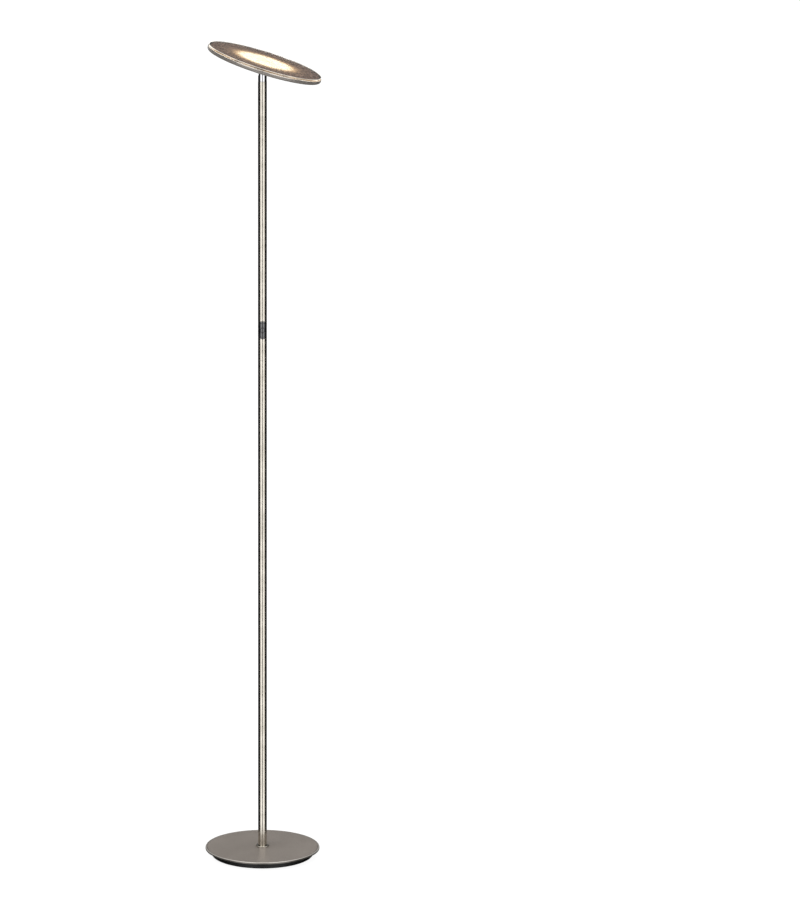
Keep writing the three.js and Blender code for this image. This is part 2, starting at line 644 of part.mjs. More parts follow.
function tactSwitch(height) {
  const half = SWITCH_SIZE / 2;
  const back = BOARD_Y - GAP;
  const body = block([-half, back - SWITCH_HEIGHT * SWITCH_BODY_SHARE, height - half],
    [half, back, height + half]);
  const plunger = alongY(bar(half * SWITCH_PLUNGER_SHARE, back - SWITCH_HEIGHT, back - SWITCH_OVERLAP));
  return join(body, plunger.translate(0, 0, height));
}

function buildPole(group) {
  const plugBottom = poleBottom + FOOT_PLUG_RECESS;
  add(group, 'foot_plug', 'brass',
    ring(studHole, insertRadius, plugBottom, plugBottom + FOOT_PLUG_LENGTH));
  add(group, 'lower_pole', 'nickel', ring(poleBore, poleRadius, poleBottom, lowerJoint, MEDIUM));
  add(group, 'middle_pole', 'nickel', ring(poleBore, poleRadius, lowerJoint + GAP, upperJoint, MEDIUM));
  add(group, 'upper_pole', 'nickel', upperPole());
  for (const [name, height] of [['lower_coupler', lowerJoint], ['upper_coupler', upperJoint]]) {
    add(group, name, 'steel',
      ring(COUPLER_BORE_RADIUS, insertRadius, height - COUPLER_LENGTH / 2, height + COUPLER_LENGTH / 2));
  }
  add(group, 'control_housing', 'glossBlack', controlHousing());
  add(group, 'control_board', 'circuitBoard', controlBoard());
  for (const button of BUTTONS) {
    add(group, button.name, 'glossBlack', pushButton(button));
    const name = button.name.replace('_button', '_switch');
    add(group, name, 'blackPlastic', tactSwitch(controlHeight + button.centre * buttonPitch));
  }
  const leadTop = pivotHeight - slotDepth - GAP;
  const upperLead = bar(LEAD_RADIUS, controlHeight + windowHalfLength, leadTop, LEAD_SIDES);
  add(group, 'upper_lead', 'leadJacket', upperLead);
}

// ---------------------------------------------------------------- neck and hinge

/** Polished neck: a spigot for the pole, and two ears with the pivot's bore. */
function neck() {
  const top = pivotHeight + earRadius;
  const body = lathe([
    [NECK_BORE_RADIUS, poleTop - NECK_SPIGOT], [insertRadius, poleTop - NECK_SPIGOT],
    [insertRadius, poleTop + GAP], [neckRadius, poleTop + GAP], [neckRadius, top], [NECK_BORE_RADIUS, top],
    [NECK_BORE_RADIUS, poleTop - NECK_SPIGOT],
  ], MEDIUM);
  const room = 2 * neckRadius;
  const below = block([-room, -room, poleTop - 2 * NECK_SPIGOT], [room, room, pivotHeight]);
  const round = bar(earRadius, -room, room, MEDIUM).rotateX(Math.PI / 2).translate(0, 0, pivotHeight);
  const slot = block([-room, -slotHalfWidth, pivotHeight - slotDepth],
    [room, slotHalfWidth, pivotHeight + room]);
  const bore = alongY(bar(PIVOT_RADIUS + SCREW_CLEARANCE, -room, room)).translate(0, 0, pivotHeight);
  const seat = bar(PIVOT_HEAD_RADIUS + 2 * GAP, pivotSeat, room);
  const frontSeat = alongMinusY(seat.clone()).translate(0, 0, pivotHeight);
  const backSeat = alongY(seat.clone()).translate(0, 0, pivotHeight);
  return cut(common(body, join(below, round)), slot, bore, frontSeat, backSeat);
}

/** Screw through both ears: its head at the front, its end in the nut at the back. */
function pivotScrew() {
  const seat = pivotSeat + GAP;
  const length = 2 * seat + PIVOT_NUT_THICKNESS;
  const part = screw(PIVOT_HEAD_RADIUS, PIVOT_HEAD_HEIGHT, PIVOT_RADIUS, length);
  return alongMinusY(part).translate(0, -seat, pivotHeight);
}

function pivotNut() {
  const bottom = pivotSeat + GAP;
  const nut = hexNut(2 * PIVOT_HEAD_RADIUS, PIVOT_RADIUS + SCREW_CLEARANCE, bottom,
    bottom + PIVOT_NUT_THICKNESS);
  return alongY(nut).translate(0, 0, pivotHeight);
}

function frictionWasher(side) {
  const inner = TONGUE_HALF_THICKNESS + GAP;
  const outer = slotHalfWidth - GAP;
  const washer = ring(PIVOT_RADIUS + SCREW_CLEARANCE, TONGUE_HALF_WIDTH, inner, outer);
  const turned = side < 0 ? alongMinusY(washer) : alongY(washer);
  return turned.translate(0, 0, pivotHeight);
}

/** Bracket in the head: a round plate on a tongue that hangs on the pivot. */
function hingeBracket() {
  const thick = TONGUE_HALF_THICKNESS;
  const plate = bar(bracketPlateRadius, plateFlangeBottom, plateFlangeTop, MEDIUM);
  const tongue = block([-TONGUE_HALF_WIDTH, -thick, 0], [TONGUE_HALF_WIDTH, thick, plateFlangeTop - GAP]);
  const eye = bar(TONGUE_HALF_WIDTH, -thick, thick, MEDIUM).rotateX(Math.PI / 2);
  const bore = bar(PIVOT_RADIUS + SCREW_CLEARANCE, -2 * thick, 2 * thick).rotateX(Math.PI / 2);
  const wireHole = bar(HEAD_LEAD_RADIUS + GAP, headFloor, spreaderBottom).translate(headLeadOffset, 0, 0);
  const screwHole = bar(BRACKET_SCREW_RADIUS + SCREW_CLEARANCE, headFloor, spreaderBottom);
  return cut(
    join(plate, tongue, eye), bore, wireHole,
    screwHole.clone().translate(0, bracketScrewOffset, 0),
    screwHole.clone().translate(0, -bracketScrewOffset, 0),
  );
}

// ---------------------------------------------------------------- head, built level on the pivot

/** Shallow round casing: flat floor, rounded side and a lip under the clear plate. */
function headCasing() {
  const lip = plateBottom - GAP;
  const outer = casingRadius;
  const inner = casingRadius - CASING_WALL;
  const centre = headFloor + CASING_ROUNDING;
  const inside = CASING_ROUNDING - CASING_WALL;
  const shell = lathe([
    [0, headFloor],
    ...arc(outer - CASING_ROUNDING, centre, CASING_ROUNDING, -90, 0, 4),
    [outer - CASING_LIP_INSET, lip],
    [inner - CASING_LIP_INSET, lip],
    ...arc(outer - CASING_ROUNDING, centre, inside, 0, -90, 3),
    [0, headFloor + CASING_WALL],
  ], FINE);
  const half = TONGUE_HALF_THICKNESS + 2 * GAP;
  const reach = headLeadOffset + HEAD_LEAD_RADIUS + GAP;
  const opening = block([-TONGUE_HALF_WIDTH - 2 * GAP, -half, 0], [reach, half, plateFlangeBottom]);
  let casing = cut(shell, opening);
  for (let i = 0; i < SPREADER_SCREW_COUNT; i += 1) {
    const boss = ring(SPREADER_SCREW_RADIUS + SCREW_CLEARANCE, SPREADER_BOSS_RADIUS,
      headFloor + CASING_WALL - GAP, spreaderBottom - GAP);
    casing = join(casing, aroundZ(boss, spreaderScrewCircle, i, SPREADER_SCREW_COUNT));
  }
  const screwHole = bar(BRACKET_SCREW_RADIUS + SCREW_CLEARANCE, 0, plateFlangeBottom);
  return cut(
    casing,
    screwHole.clone().translate(0, bracketScrewOffset, 0),
    screwHole.clone().translate(0, -bracketScrewOffset, 0),
  );
}

function heatSpreader() {
  let disc = ring(SPREADER_BORE_RADIUS, spreaderRadius, spreaderBottom, spreaderTop, MEDIUM);
  const hole = bar(SPREADER_SCREW_RADIUS + SCREW_CLEARANCE, spreaderBottom - 1, spreaderTop + 1);
  const small = bar(BOARD_SCREW_RADIUS + SCREW_CLEARANCE, spreaderBottom - 1, spreaderTop + 1);
  for (let i = 0; i < SPREADER_SCREW_COUNT; i += 1) {
    disc = cut(disc, aroundZ(hole, spreaderScrewCircle, i, SPREADER_SCREW_COUNT));
  }
  for (let i = 0; i < BOARD_SCREW_COUNT; i += 1) {
    disc = cut(disc, aroundZ(small, boardScrewCircle, i, BOARD_SCREW_COUNT, Math.PI / 2));
  }
  return disc;
}

/** Ring-shaped board with its light-emitting packages in two rings. */
function ledBoard() {
  let board = ring(LED_BOARD_INNER, LED_BOARD_OUTER, ledBoardBottom, ledBoardTop, MEDIUM);
  const hole = bar(BOARD_SCREW_RADIUS + SCREW_CLEARANCE, ledBoardBottom - 1, ledBoardTop + 1);
  for (let i = 0; i < BOARD_SCREW_COUNT; i += 1) {
    board = cut(board, aroundZ(hole, boardScrewCircle, i, BOARD_SCREW_COUNT, Math.PI / 2));
  }
  const half = LED_SIZE / 2;
  for (const [radius, count] of [[innerLedRing, INNER_LED_COUNT], [outerLedRing, OUTER_LED_COUNT]]) {
    const chip = block([-half, -half, ledBoardTop - GAP], [half, half, ledBoardTop + LED_HEIGHT]);
    for (let i = 0; i < count; i += 1) {
      board = join(board, aroundZ(chip, radius, i, count));
    }
  }
  return board;
}

/** Frame that carries the film and the clear plate, on the casing's floor. */
function plateFrame() {
  const bottom = headFloor + CASING_WALL + GAP;
  const chamfer = CASING_ROUNDING - CASING_WALL;
  const inner = frameRadius - FRAME_WIDTH;
  return lathe([
    [inner, bottom], [frameRadius - chamfer, bottom], [frameRadius, bottom + chamfer],
    [frameRadius, filmBottom - GAP], [inner, filmBottom - GAP], [inner, bottom],
  ], FINE);
}

function clearPlate() {
  return lathe([
    [0, plateBottom], [plateRadius, plateBottom], [plateRadius, plateTop - PLATE_BEVEL],
    [plateRadius - PLATE_BEVEL, plateTop], [0, plateTop],
  ], FINE);
}

/** Lead up through the casing, then level to the board's inner edge. */
function headLead() {
  const level = headLeadLevel;
  const turn = plateFlangeTop;
  const handle = QUARTER_ARC * headLeadBend;
  const x = headLeadOffset;
  const bent = x + headLeadBend;
  const point = (across, up) => new THREE.Vector3(across, 0, up);
  const path = new THREE.CurvePath();
  path.add(new THREE.LineCurve3(point(x, headFloor + GAP), point(x, turn)));
  path.add(new THREE.CubicBezierCurve3(point(x, turn), point(x, turn + handle),
    point(bent - handle, level), point(bent, level)));
  path.add(new THREE.LineCurve3(point(bent, level), point(SPREADER_BORE_RADIUS - GAP, level)));
  return lead(path, HEAD_LEAD_RADIUS, HEAD_LEAD_STEPS);
}

function buildHinge(group) {
  add(group, 'neck', 'chrome', neck());
  add(group, 'pivot_screw', 'steel', pivotScrew());
  add(group, 'pivot_nut', 'steel', pivotNut());
  add(group, 'friction_washer_front', 'brass', frictionWasher(-1));
  add(group, 'friction_washer_back', 'brass', frictionWasher(1));
}

function buildHead(group) {
  const head = new THREE.Group();
  head.position.set(0, 0, pivotHeight);
  head.rotation.y = HEAD_TILT;
  group.add(head);
  add(head, 'hinge_bracket', 'steel', hingeBracket());
  add(head, 'head_casing', 'headPaint', headCasing());
  const depth = CASING_WALL + BRACKET_PLATE_THICKNESS;
  for (const side of [-1, 1]) {
    const part = screw(BRACKET_SCREW_HEAD_RADIUS, BRACKET_SCREW_HEAD_HEIGHT, BRACKET_SCREW_RADIUS, depth)
      .rotateX(Math.PI)
      .translate(0, side * bracketScrewOffset, headFloor - GAP);
    add(head, side < 0 ? 'bracket_screw_front' : 'bracket_screw_back', 'steel', part);
  }
  add(head, 'heat_spreader', 'aluminium', heatSpreader());
  add(head, 'led_board', 'ledBoard', ledBoard());
  const spreaderScrew = screw(SPREADER_SCREW_RADIUS * 2, SPREADER_SCREW_HEAD_HEIGHT, SPREADER_SCREW_RADIUS,
    SPREADER_THICKNESS + SPREADER_SCREW_GRIP)
    .translate(0, 0, spreaderTop + GAP);
  for (let i = 0; i < SPREADER_SCREW_COUNT; i += 1) {
    add(head, `spreader_screw_${i + 1}`, 'steel',
      aroundZ(spreaderScrew, spreaderScrewCircle, i, SPREADER_SCREW_COUNT));
  }
  const boardScrew = screw(BOARD_SCREW_RADIUS * 2, BOARD_SCREW_HEAD_HEIGHT, BOARD_SCREW_RADIUS,
    LED_BOARD_THICKNESS + SPREADER_THICKNESS)
    .translate(0, 0, ledBoardTop + GAP);
  for (let i = 0; i < BOARD_SCREW_COUNT; i += 1) {
    add(head, `board_screw_${i + 1}`, 'steel',
      aroundZ(boardScrew, boardScrewCircle, i, BOARD_SCREW_COUNT, Math.PI / 2));
  }
  add(head, 'plate_frame', 'whitePlastic', plateFrame());
  add(head, 'diffuser_film', 'film', bar(filmRadius, filmBottom, filmTop, FINE));
  add(head, 'plate_gasket', 'rubber',
    ring(frameRadius - GASKET_WIDTH, frameRadius, filmBottom, plateBottom - GAP, FINE));
  add(head, 'clear_plate', 'clear', clearPlate());
  add(head, 'head_lead', 'leadJacket', headLead());
}

const lamp = new THREE.Group();
buildBase(lamp);
buildPole(lamp);
buildHinge(lamp);
buildHead(lamp);

export default lamp;
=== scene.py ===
"""Torchiere floor lamp: the visible model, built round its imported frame.

Each sub-assembly is a class that holds its sizes in metres. Its surfaces are grids of points
worked out with numpy, and grids whose edges meet are welded into one closed piece. Each finish
is a class that wires its own shader. The frame gives every place: heights and radii are read
from its nodes, and the fields add the roundings and small details that the frame leaves out.
"""

import sys

import json
import logging
import math
from dataclasses import dataclass
from enum import Enum
from typing import Callable, Mapping, Optional, Sequence, Union

import bmesh
import bpy
import numpy as np
from mathutils import Matrix, Vector


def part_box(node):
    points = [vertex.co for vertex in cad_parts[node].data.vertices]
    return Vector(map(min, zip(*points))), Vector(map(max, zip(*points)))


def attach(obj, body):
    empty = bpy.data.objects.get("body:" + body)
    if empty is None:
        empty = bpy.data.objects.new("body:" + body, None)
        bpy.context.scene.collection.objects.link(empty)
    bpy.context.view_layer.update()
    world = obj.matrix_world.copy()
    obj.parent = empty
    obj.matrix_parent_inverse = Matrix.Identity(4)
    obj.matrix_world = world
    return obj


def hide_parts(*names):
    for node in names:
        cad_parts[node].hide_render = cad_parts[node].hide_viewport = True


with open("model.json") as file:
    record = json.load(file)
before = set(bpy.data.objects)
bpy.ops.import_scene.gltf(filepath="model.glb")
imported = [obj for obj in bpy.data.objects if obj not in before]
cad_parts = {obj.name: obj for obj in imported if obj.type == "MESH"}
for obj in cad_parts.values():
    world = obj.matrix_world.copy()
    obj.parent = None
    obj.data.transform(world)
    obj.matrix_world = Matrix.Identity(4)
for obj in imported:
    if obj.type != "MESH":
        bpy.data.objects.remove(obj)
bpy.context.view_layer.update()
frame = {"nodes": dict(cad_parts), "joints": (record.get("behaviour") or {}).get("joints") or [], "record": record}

LOG = logging.getLogger("lamp")
MM = 0.001
FIT = 0.3 * MM  # between pieces that touch
HOLD = 0.2 * MM  # least distance from a corner to the point that keeps its flat's shading flat
HOLD_SHARE = 0.3  # and the most of a short flat that it takes
WELD = 0.0001 * MM  # points nearer than this are one
WELD_OFFSET = 0.137  # keeps round sizes off the edge between two roundings
SHAVING = 0.01 * MM  # kept inside the frame's faceted rims
TINY = 1e-6
Array = np.ndarray
Colour = tuple[float, float, float, float]


def tint(red: int, green: int, blue: int) -> Colour:
    """A colour given as display values from 0 to 255, as the linear colour a shader takes.

    Returns:
        Red, green, blue and a full alpha.
    """
    shown = np.array([red, green, blue]) / 255
    linear = np.where(shown <= 0.04045, shown / 12.92, ((shown + 0.055) / 1.055) ** 2.4)
    return (float(linear[0]), float(linear[1]), float(linear[2]), 1.0)


UNLIT: Colour = (0.0, 0.0, 0.0, 1.0)
WHITE: Colour = (1.0, 1.0, 1.0, 1.0)


class Body(Enum):
    """The frame's bodies, which the pieces ride on."""

    STAND = "stand"
    HEAD = "head"
    DIM_UP = "dim_up"
    POWER = "power"
    DIM_DOWN = "dim_down"


class Slot(Enum):
    """The record's material slots."""

    FOAM_PAD = "foam_pad"
    BLACK_TRAY = "black_tray"
    CAST_WEIGHT = "cast_weight"
    BASE_PAINT = "base_paint"
    BLACK_RUBBER = "black_rubber"
    SATIN_NICKEL = "satin_nickel"
    ZINC_STEEL = "zinc_steel"
    BRASS = "brass"
    LEAD_JACKET = "lead_jacket"
    GLOSS_BLACK = "gloss_black"
    CIRCUIT_BOARD = "circuit_board"
    SWITCH_PLASTIC = "switch_plastic"
    POLISHED_NECK = "polished_neck"
    HEAD_PAINT = "head_paint"
    SPREADER_METAL = "spreader_metal"
    LED_BOARD = "led_board"
    WHITE_FRAME = "white_frame"
    BROWN_FILM = "brown_film"
    CLEAR_ACRYLIC = "clear_acrylic"


class Recess(Enum):
    """The shapes a screw's head is driven by."""

    HEX = "hex"
    CROSS = "cross"


# ---------------------------------------------------------------- reading the frame


def points_of(node: str) -> Array:
    """The points of a frame node, in metres.

    Args:
        node: The node's name.

    Returns:
        An array of three columns.
    """
    vertices = frame["nodes"][node].data.vertices
    flat = np.empty(len(vertices) * 3)
    vertices.foreach_get("co", flat)
    return flat.reshape(-1, 3)


@dataclass(frozen=True)
class Extent:
    """A node's lowest and highest points along an axis, and its widest radius about it."""

    low: float
    high: float
    radius: float


def extent(node: str, origin: Array, axis: Array) -> Extent:
    """Measures a node along and about an axis.

    Heights are h = (p - origin) . axis, and radii are the length of p - origin - h axis.

    Args:
        node: The node's name.
        origin: A point on the axis.
        axis: The axis' unit direction.

    Returns:
        The node's extent.
    """
    away = points_of(node) - origin
    height = away @ axis
    radius = np.linalg.norm(away - np.outer(height, axis), axis=1)
    return Extent(float(height.min()), float(height.max()), float(radius.max()))


def upright(node: str) -> Extent:
    """A node's extent along and about the pole's axis."""
    return extent(node, np.zeros(3), np.array([0.0, 0.0, 1.0]))


@dataclass(frozen=True)
class HeadFrame:
    """Where the tilted head stands: its pivot and its own upward direction."""

    pivot: Array
    normal: Array

    @classmethod
    def read(cls) -> "HeadFrame":
        """Takes the pivot from the hinge, and the direction from the flat clear plate.

        The plate's thinnest direction is the last singular vector of its points.

        Returns:
            The head's frame.
        """
        joint = next(joint for joint in frame["joints"] if joint["name"] == "head_tilt")
        away = points_of("clear_plate")
        away = away - away.mean(axis=0)
        normal = np.linalg.svd(away, full_matrices=False)[2][-1]
        return cls(np.array(joint["pos_m"], float), normal * np.sign(normal[2]))

    @property
    def tilt(self) -> float:
        """The head's turn about +Y, in radians."""
        return math.atan2(self.normal[0], self.normal[2])

    def matrix(self) -> Matrix:
        """Takes the head's own coordinates to the lamp's."""
        return Matrix.Translation(self.pivot) @ Matrix.Rotation(self.tilt, 4, "Y")

    def extent(self, node: str) -> Extent:
        """A node's extent along and about the head's own axis."""
        return extent(node, self.pivot, self.normal)


# ---------------------------------------------------------------- surfaces


def filleted(corners: Sequence[tuple[float, float, float]], steps: int = 6) -> Array:
    """A closed profile whose corners are rounded, each by its own radius.

    With u and v the unit vectors from a corner P to its neighbours and w the angle between
    them, the arc's centre is P + (u + v)/|u + v| r/sin(w/2), and its ends are P + u r/tan(w/2)
    and P + v r/tan(w/2). The arc goes between them as a slerp over the angle pi - w. A point on
    the straight either side of each corner keeps the shading of the flats flat.

    Args:
        corners: Across, up and rounding of each corner, in order round the profile.
        steps: Lines in each rounding.

    Returns:
        Points as rows of across and up. The last is the first again.
    """
    table = np.asarray(corners, float)
    corner, radius = table[:, :2], table[:, 2:]
    before = np.roll(corner, 1, axis=0) - corner
    after = np.roll(corner, -1, axis=0) - corner
    before /= np.linalg.norm(before, axis=1, keepdims=True)
    after /= np.linalg.norm(after, axis=1, keepdims=True)
    half = np.arccos(np.clip((before * after).sum(1, keepdims=True), -1, 1)) / 2
    reach = radius / np.tan(half)
    middle = before + after
    middle /= np.linalg.norm(middle, axis=1, keepdims=True)
    centre = corner + middle * radius / np.sin(half)
    start, end = corner + before * reach - centre, corner + after * reach - centre
    sweep = (math.pi - 2 * half)[:, None, :]
    share = np.linspace(0, 1, steps + 1)[None, :, None]
    curve = np.sin((1 - share) * sweep) * start[:, None] + np.sin(share * sweep) * end[:, None]
    curve = centre[:, None] + curve / np.sin(sweep)
    ahead = np.linalg.norm(np.roll(corner, -1, axis=0) - corner, axis=1, keepdims=True)
    spare = (ahead - reach - np.roll(reach, -1, axis=0)) * HOLD_SHARE
    hold = np.maximum(reach, HOLD)
    first = curve[:, :1] + (before * np.minimum(hold, np.roll(spare, 1, axis=0)))[:, None]
    last = curve[:, -1:] + (after * np.minimum(hold, spare))[:, None]
    path = np.concatenate([first, curve, last], axis=1).reshape(-1, 2)
    return np.vstack([path, path[:1]])


def strip(
    inner: float, outer: float, low: float, high: float, edge: float, inner_edge: float, steps: int
) -> Array:
    """The profile of a disc or ring: a rectangle with rounded corners.

    Args:
        inner: Inner radius, or 0 for a disc.
        outer: Outer radius.
        low: Height of its underside.
        high: Height of its top.
        edge: Rounding of its outer edges.
        inner_edge: Rounding of its inner edges.
        steps: Lines in each rounding.

    Returns:
        Points as rows of radius and height.
    """
    corners = [
        (inner, low, inner_edge),
        (outer, low, edge),
        (outer, high, edge),
        (inner, high, inner_edge),
    ]
    return filleted(corners, steps)


def turned(profile: Array, places: int = 192) -> Array:
    """A profile turned about the Z axis: x = r cos t, y = r sin t, z = h for t from 0 to 2 pi.

    Args:
        profile: Rows of radius and height.
        places: Places round the axis.

    Returns:
        A grid of points: profile, place, coordinate.
    """
    angle = np.linspace(0, 2 * math.pi, places + 1)
    return ringed(np.repeat(profile[:, :1], places + 1, axis=1), profile[:, 1], angle)


def ringed(radius: Array, height: Array, angle: Array) -> Array:
    """Rings about the Z axis: x = r(i, t) cos t, y = r(i, t) sin t, z = h(i).

    Args:
        radius: The radius of each ring at each angle.
        height: The height of each ring.
        angle: The angles.

    Returns:
        A grid of points: ring, angle, coordinate.
    """
    across, along = radius * np.cos(angle), radius * np.sin(angle)
    return np.stack([across, along, np.broadcast_to(height[:, None], across.shape)], axis=-1)


def stacked(*rows: Array) -> Array:
    """Rows of points, all of one length, as one grid."""
    return np.stack(rows)


def between(first: Array, second: Array, steps: int) -> Array:
    """Rows that go evenly from one row of points to another: (1 - s) first + s second.

    Args:
        first: The first row.
        second: The last row.
        steps: How many steps lie between them.

    Returns:
        A grid of points: step, place, coordinate.
    """
    share = np.linspace(0, 1, steps + 1)[:, None, None]
    return (1 - share) * first + share * second


def welded(grids: Sequence[Array]) -> tuple[Array, Array, Array]:
    """Joins grids of points into one surface wherever their points coincide.

    Points are the same where they round to the same tenth of a micrometre. Each cell of a grid
    is a face of four corners, and one whose corners have met becomes a triangle or nothing.

    Args:
        grids: Grids of points: row, column, coordinate.

    Returns:
        The points, the four-cornered faces and the triangles.
    """
    points = np.vstack([grid.reshape(-1, 3) for grid in grids])
    cells, start = [], 0
    for grid in grids:
        index = start + np.arange(grid.shape[0] * grid.shape[1]).reshape(grid.shape[:2])
        corners = [index[:-1, :-1], index[:-1, 1:], index[1:, 1:], index[1:, :-1]]
        cells.append(np.stack(corners, axis=-1).reshape(-1, 4))
        start += index.size
    rounded = np.round(points / WELD + WELD_OFFSET).astype(np.int64)
    _, first, where = np.unique(rounded, axis=0, return_index=True, return_inverse=True)
    faces = where.reshape(-1)[np.vstack(cells)]
    whole = (faces != np.roll(faces, 1, axis=1)).all(axis=1)
    whole &= (faces[:, 0] != faces[:, 2]) & (faces[:, 1] != faces[:, 3])
    rest = np.vstack([faces[~whole][:, [0, 1, 2]], faces[~whole][:, [0, 2, 3]]])
    rest = rest[(rest != np.roll(rest, 1, axis=1)).all(axis=1)]
    corners = np.concatenate([faces[whole].ravel(), rest.ravel()])
    used, number = np.unique(corners, return_inverse=True)
    squares = number[: whole.sum() * 4].reshape(-1, 4)
    return points[first][used], squares, number[squares.size :].reshape(-1, 3)


def placed(grids: Sequence[Array], matrix: Matrix) -> list[Array]:
    """Grids of points moved by a matrix: p' = R p + t."""
    turn, move = np.array(matrix.to_3x3()), np.array(matrix.translation)
    return [grid @ turn.T + move for grid in grids]


def lying(height: float, along: float = 0.0, turn: float = -math.pi / 2) -> Matrix:
    """Lays a turned piece's axis along +Y, or along -Y for a quarter turn the other way.

    Args:
        height: Height of its axis.
        along: Where its own origin comes, along Y.
        turn: The turn about X.

    Returns:
        The matrix that places it.
    """
    return Matrix.Translation((0, along, height)) @ Matrix.Rotation(turn, 4, "X")


# ---------------------------------------------------------------- shader wiring

Number = Union["Signal", float]


class Signal:
    """A number or colour inside one shader, with the arithmetic of numbers."""

    def __init__(self, bench: "Bench", socket: bpy.types.NodeSocket) -> None:
        """Wraps an output socket of a bench's tree."""
        self.bench = bench
        self.socket = socket

    def maths(self, operation: str, *others: Number, swapped: bool = False) -> "Signal":
        """This number put through a Math node.

        Args:
            operation: The node's operation.
            others: The other numbers it takes.
            swapped: Whether this number comes last instead of first.

        Returns:
            The node's result.
        """
        values = (*others, self) if swapped else (self, *others)
        return self.bench.node("ShaderNodeMath", {"operation": operation}, dict(enumerate(values)))

    def __add__(self, other: Number) -> "Signal":
        """This plus the other."""
        return self.maths("ADD", other)

    __radd__ = __add__

    def __mul__(self, other: Number) -> "Signal":
        """This times the other."""
        return self.maths("MULTIPLY", other)

    __rmul__ = __mul__

    def __sub__(self, other: Number) -> "Signal":
        """This minus the other."""
        return self.maths("SUBTRACT", other)

    def __rsub__(self, other: Number) -> "Signal":
        """The other minus this."""
        return self.maths("SUBTRACT", other, swapped=True)

    def __truediv__(self, other: Number) -> "Signal":
        """This divided by the other."""
        return self.maths("DIVIDE", other)

    def __pow__(self, other: Number) -> "Signal":
        """This raised to the other."""
        return self.maths("POWER", other)

    def rise(self, low: float, high: float) -> "Signal":
        """0 below low and 1 above high, with a smooth step between: 3 s^2 - 2 s^3."""
        inputs = {"Value": self, "From Min": low, "From Max": high}
        return self.bench.node("ShaderNodeMapRange", {"interpolation_type": "SMOOTHSTEP"}, inputs)

    def bell(self, width: float) -> "Signal":
        """exp(-(x / width)^2)."""
        return (self * self / (-width * width)).maths("EXPONENT")


class Bench:
    """The node tree of one shader, emptied and ready to be wired."""

    def __init__(self, tree: bpy.types.NodeTree) -> None:
        """Empties the tree."""
        self.tree = tree
        tree.nodes.clear()

    def node(
        self,
        kind: str,
        settings: Optional[Mapping[str, object]] = None,
        inputs: Optional[Mapping[Union[str, int], object]] = None,
        output: Union[str, int] = 0,
    ) -> Signal:
        """Adds a node, sets it up, and then gives its sockets their values or links.

        Args:
            kind: The node's type.
            settings: The node's own properties.
            inputs: A value or a signal for each socket, by name or place.
            output: The socket that the result comes from.

        Returns:
            The node's output.
        """
        made = self.tree.nodes.new(kind)
        for name, value in (settings or {}).items():
            setattr(made, name, value)
        for name, value in (inputs or {}).items():
            if isinstance(value, Signal):
                self.tree.links.new(value.socket, made.inputs[name])
            else:
                made.inputs[name].default_value = value
        return Signal(self, made.outputs[output])

    def spot(self, scale: Sequence[float] = (1, 1, 1), home: Optional[Matrix] = None) -> Signal:
        """Where on the object the shader is: Object coordinates, centred, turned and stretched.

        Args:
            scale: What each coordinate is multiplied by, before any turn.
            home: The matrix of the piece's own frame, which is undone.

        Returns:
            The place as a vector.
        """
        inputs = {"Vector": self.node("ShaderNodeTexCoord", output="Object"), "Scale": scale}
        if home is not None:
            back = home.inverted()
            inputs.update(Location=back.translation, Rotation=back.to_euler())
        return self.node("ShaderNodeMapping", {"vector_type": "POINT"}, inputs)

    def parts(self, vector: Signal) -> tuple[Signal, Signal, Signal]:
        """A vector's three coordinates."""
        return tuple(
            self.node("ShaderNodeSeparateXYZ", inputs={0: vector}, output=axis) for axis in "XYZ"
        )

    def noise(self, scale: float, detail: float = 2.0, vector: Optional[Signal] = None) -> Signal:
        """Soft noise from 0 to 1, scale times a metre."""
        inputs = {"Vector": vector or self.spot(), "Scale": scale, "Detail": detail}
        return self.node("ShaderNodeTexNoise", inputs=inputs)

    def flecks(self, scale: float, size: float, vector: Optional[Signal] = None) -> Signal:
        """1 in small round flecks, one to a cell, and 0 between them.

        Args:
            scale: Cells in a metre.
            size: A fleck's radius as a share of its cell.
            vector: Where to look, if not Object coordinates.

        Returns:
            The flecks as a number from 0 to 1.
        """
        inputs = {"Vector": vector or self.spot(), "Scale": scale}
        return 1 - self.node("ShaderNodeTexVoronoi", inputs=inputs).rise(size * 0.5, size)

    def mix(self, factor: Number, first: object, second: object) -> Signal:
        """A colour between the first, at 0, and the second, at 1."""
        settings = {"data_type": "RGBA"}
        return self.node("ShaderNodeMix", settings, {0: factor, 6: first, 7: second}, output=2)

    def bump(self, height: Number, depth: float, strength: float = 1.0) -> Signal:
        """The normal of a surface raised by height times depth, in metres."""
        inputs = {"Strength": strength, "Distance": depth, "Height": height}
        return self.node("ShaderNodeBump", inputs=inputs, output="Normal")

    def surface(self, sockets: Mapping[str, object]) -> None:
        """Ends the shader in a principled surface with these socket values and links."""
        self.ending("ShaderNodeOutputMaterial", self.node("ShaderNodeBsdfPrincipled", inputs=sockets))

    def pane(self, sockets: Mapping[str, object]) -> None:
        """Ends the shader in a principled surface that light from lamps and matt things passes."""
        body = self.node("ShaderNodeBsdfPrincipled", inputs=sockets)
        shadow = self.node("ShaderNodeLightPath", output="Is Shadow Ray")
        matt = self.node("ShaderNodeLightPath", output="Is Diffuse Ray")
        inputs = {0: shadow.maths("MAXIMUM", matt), 1: body, 2: self.node("ShaderNodeBsdfTransparent")}
        self.ending("ShaderNodeOutputMaterial", self.node("ShaderNodeMixShader", inputs=inputs))

    def ending(self, kind: str, shader: Signal) -> None:
        """Links a shader to an output node of the kind given."""
        made = self.tree.nodes.new(kind)
        self.tree.links.new(shader.socket, made.inputs["Surface"])


# ---------------------------------------------------------------- finishes


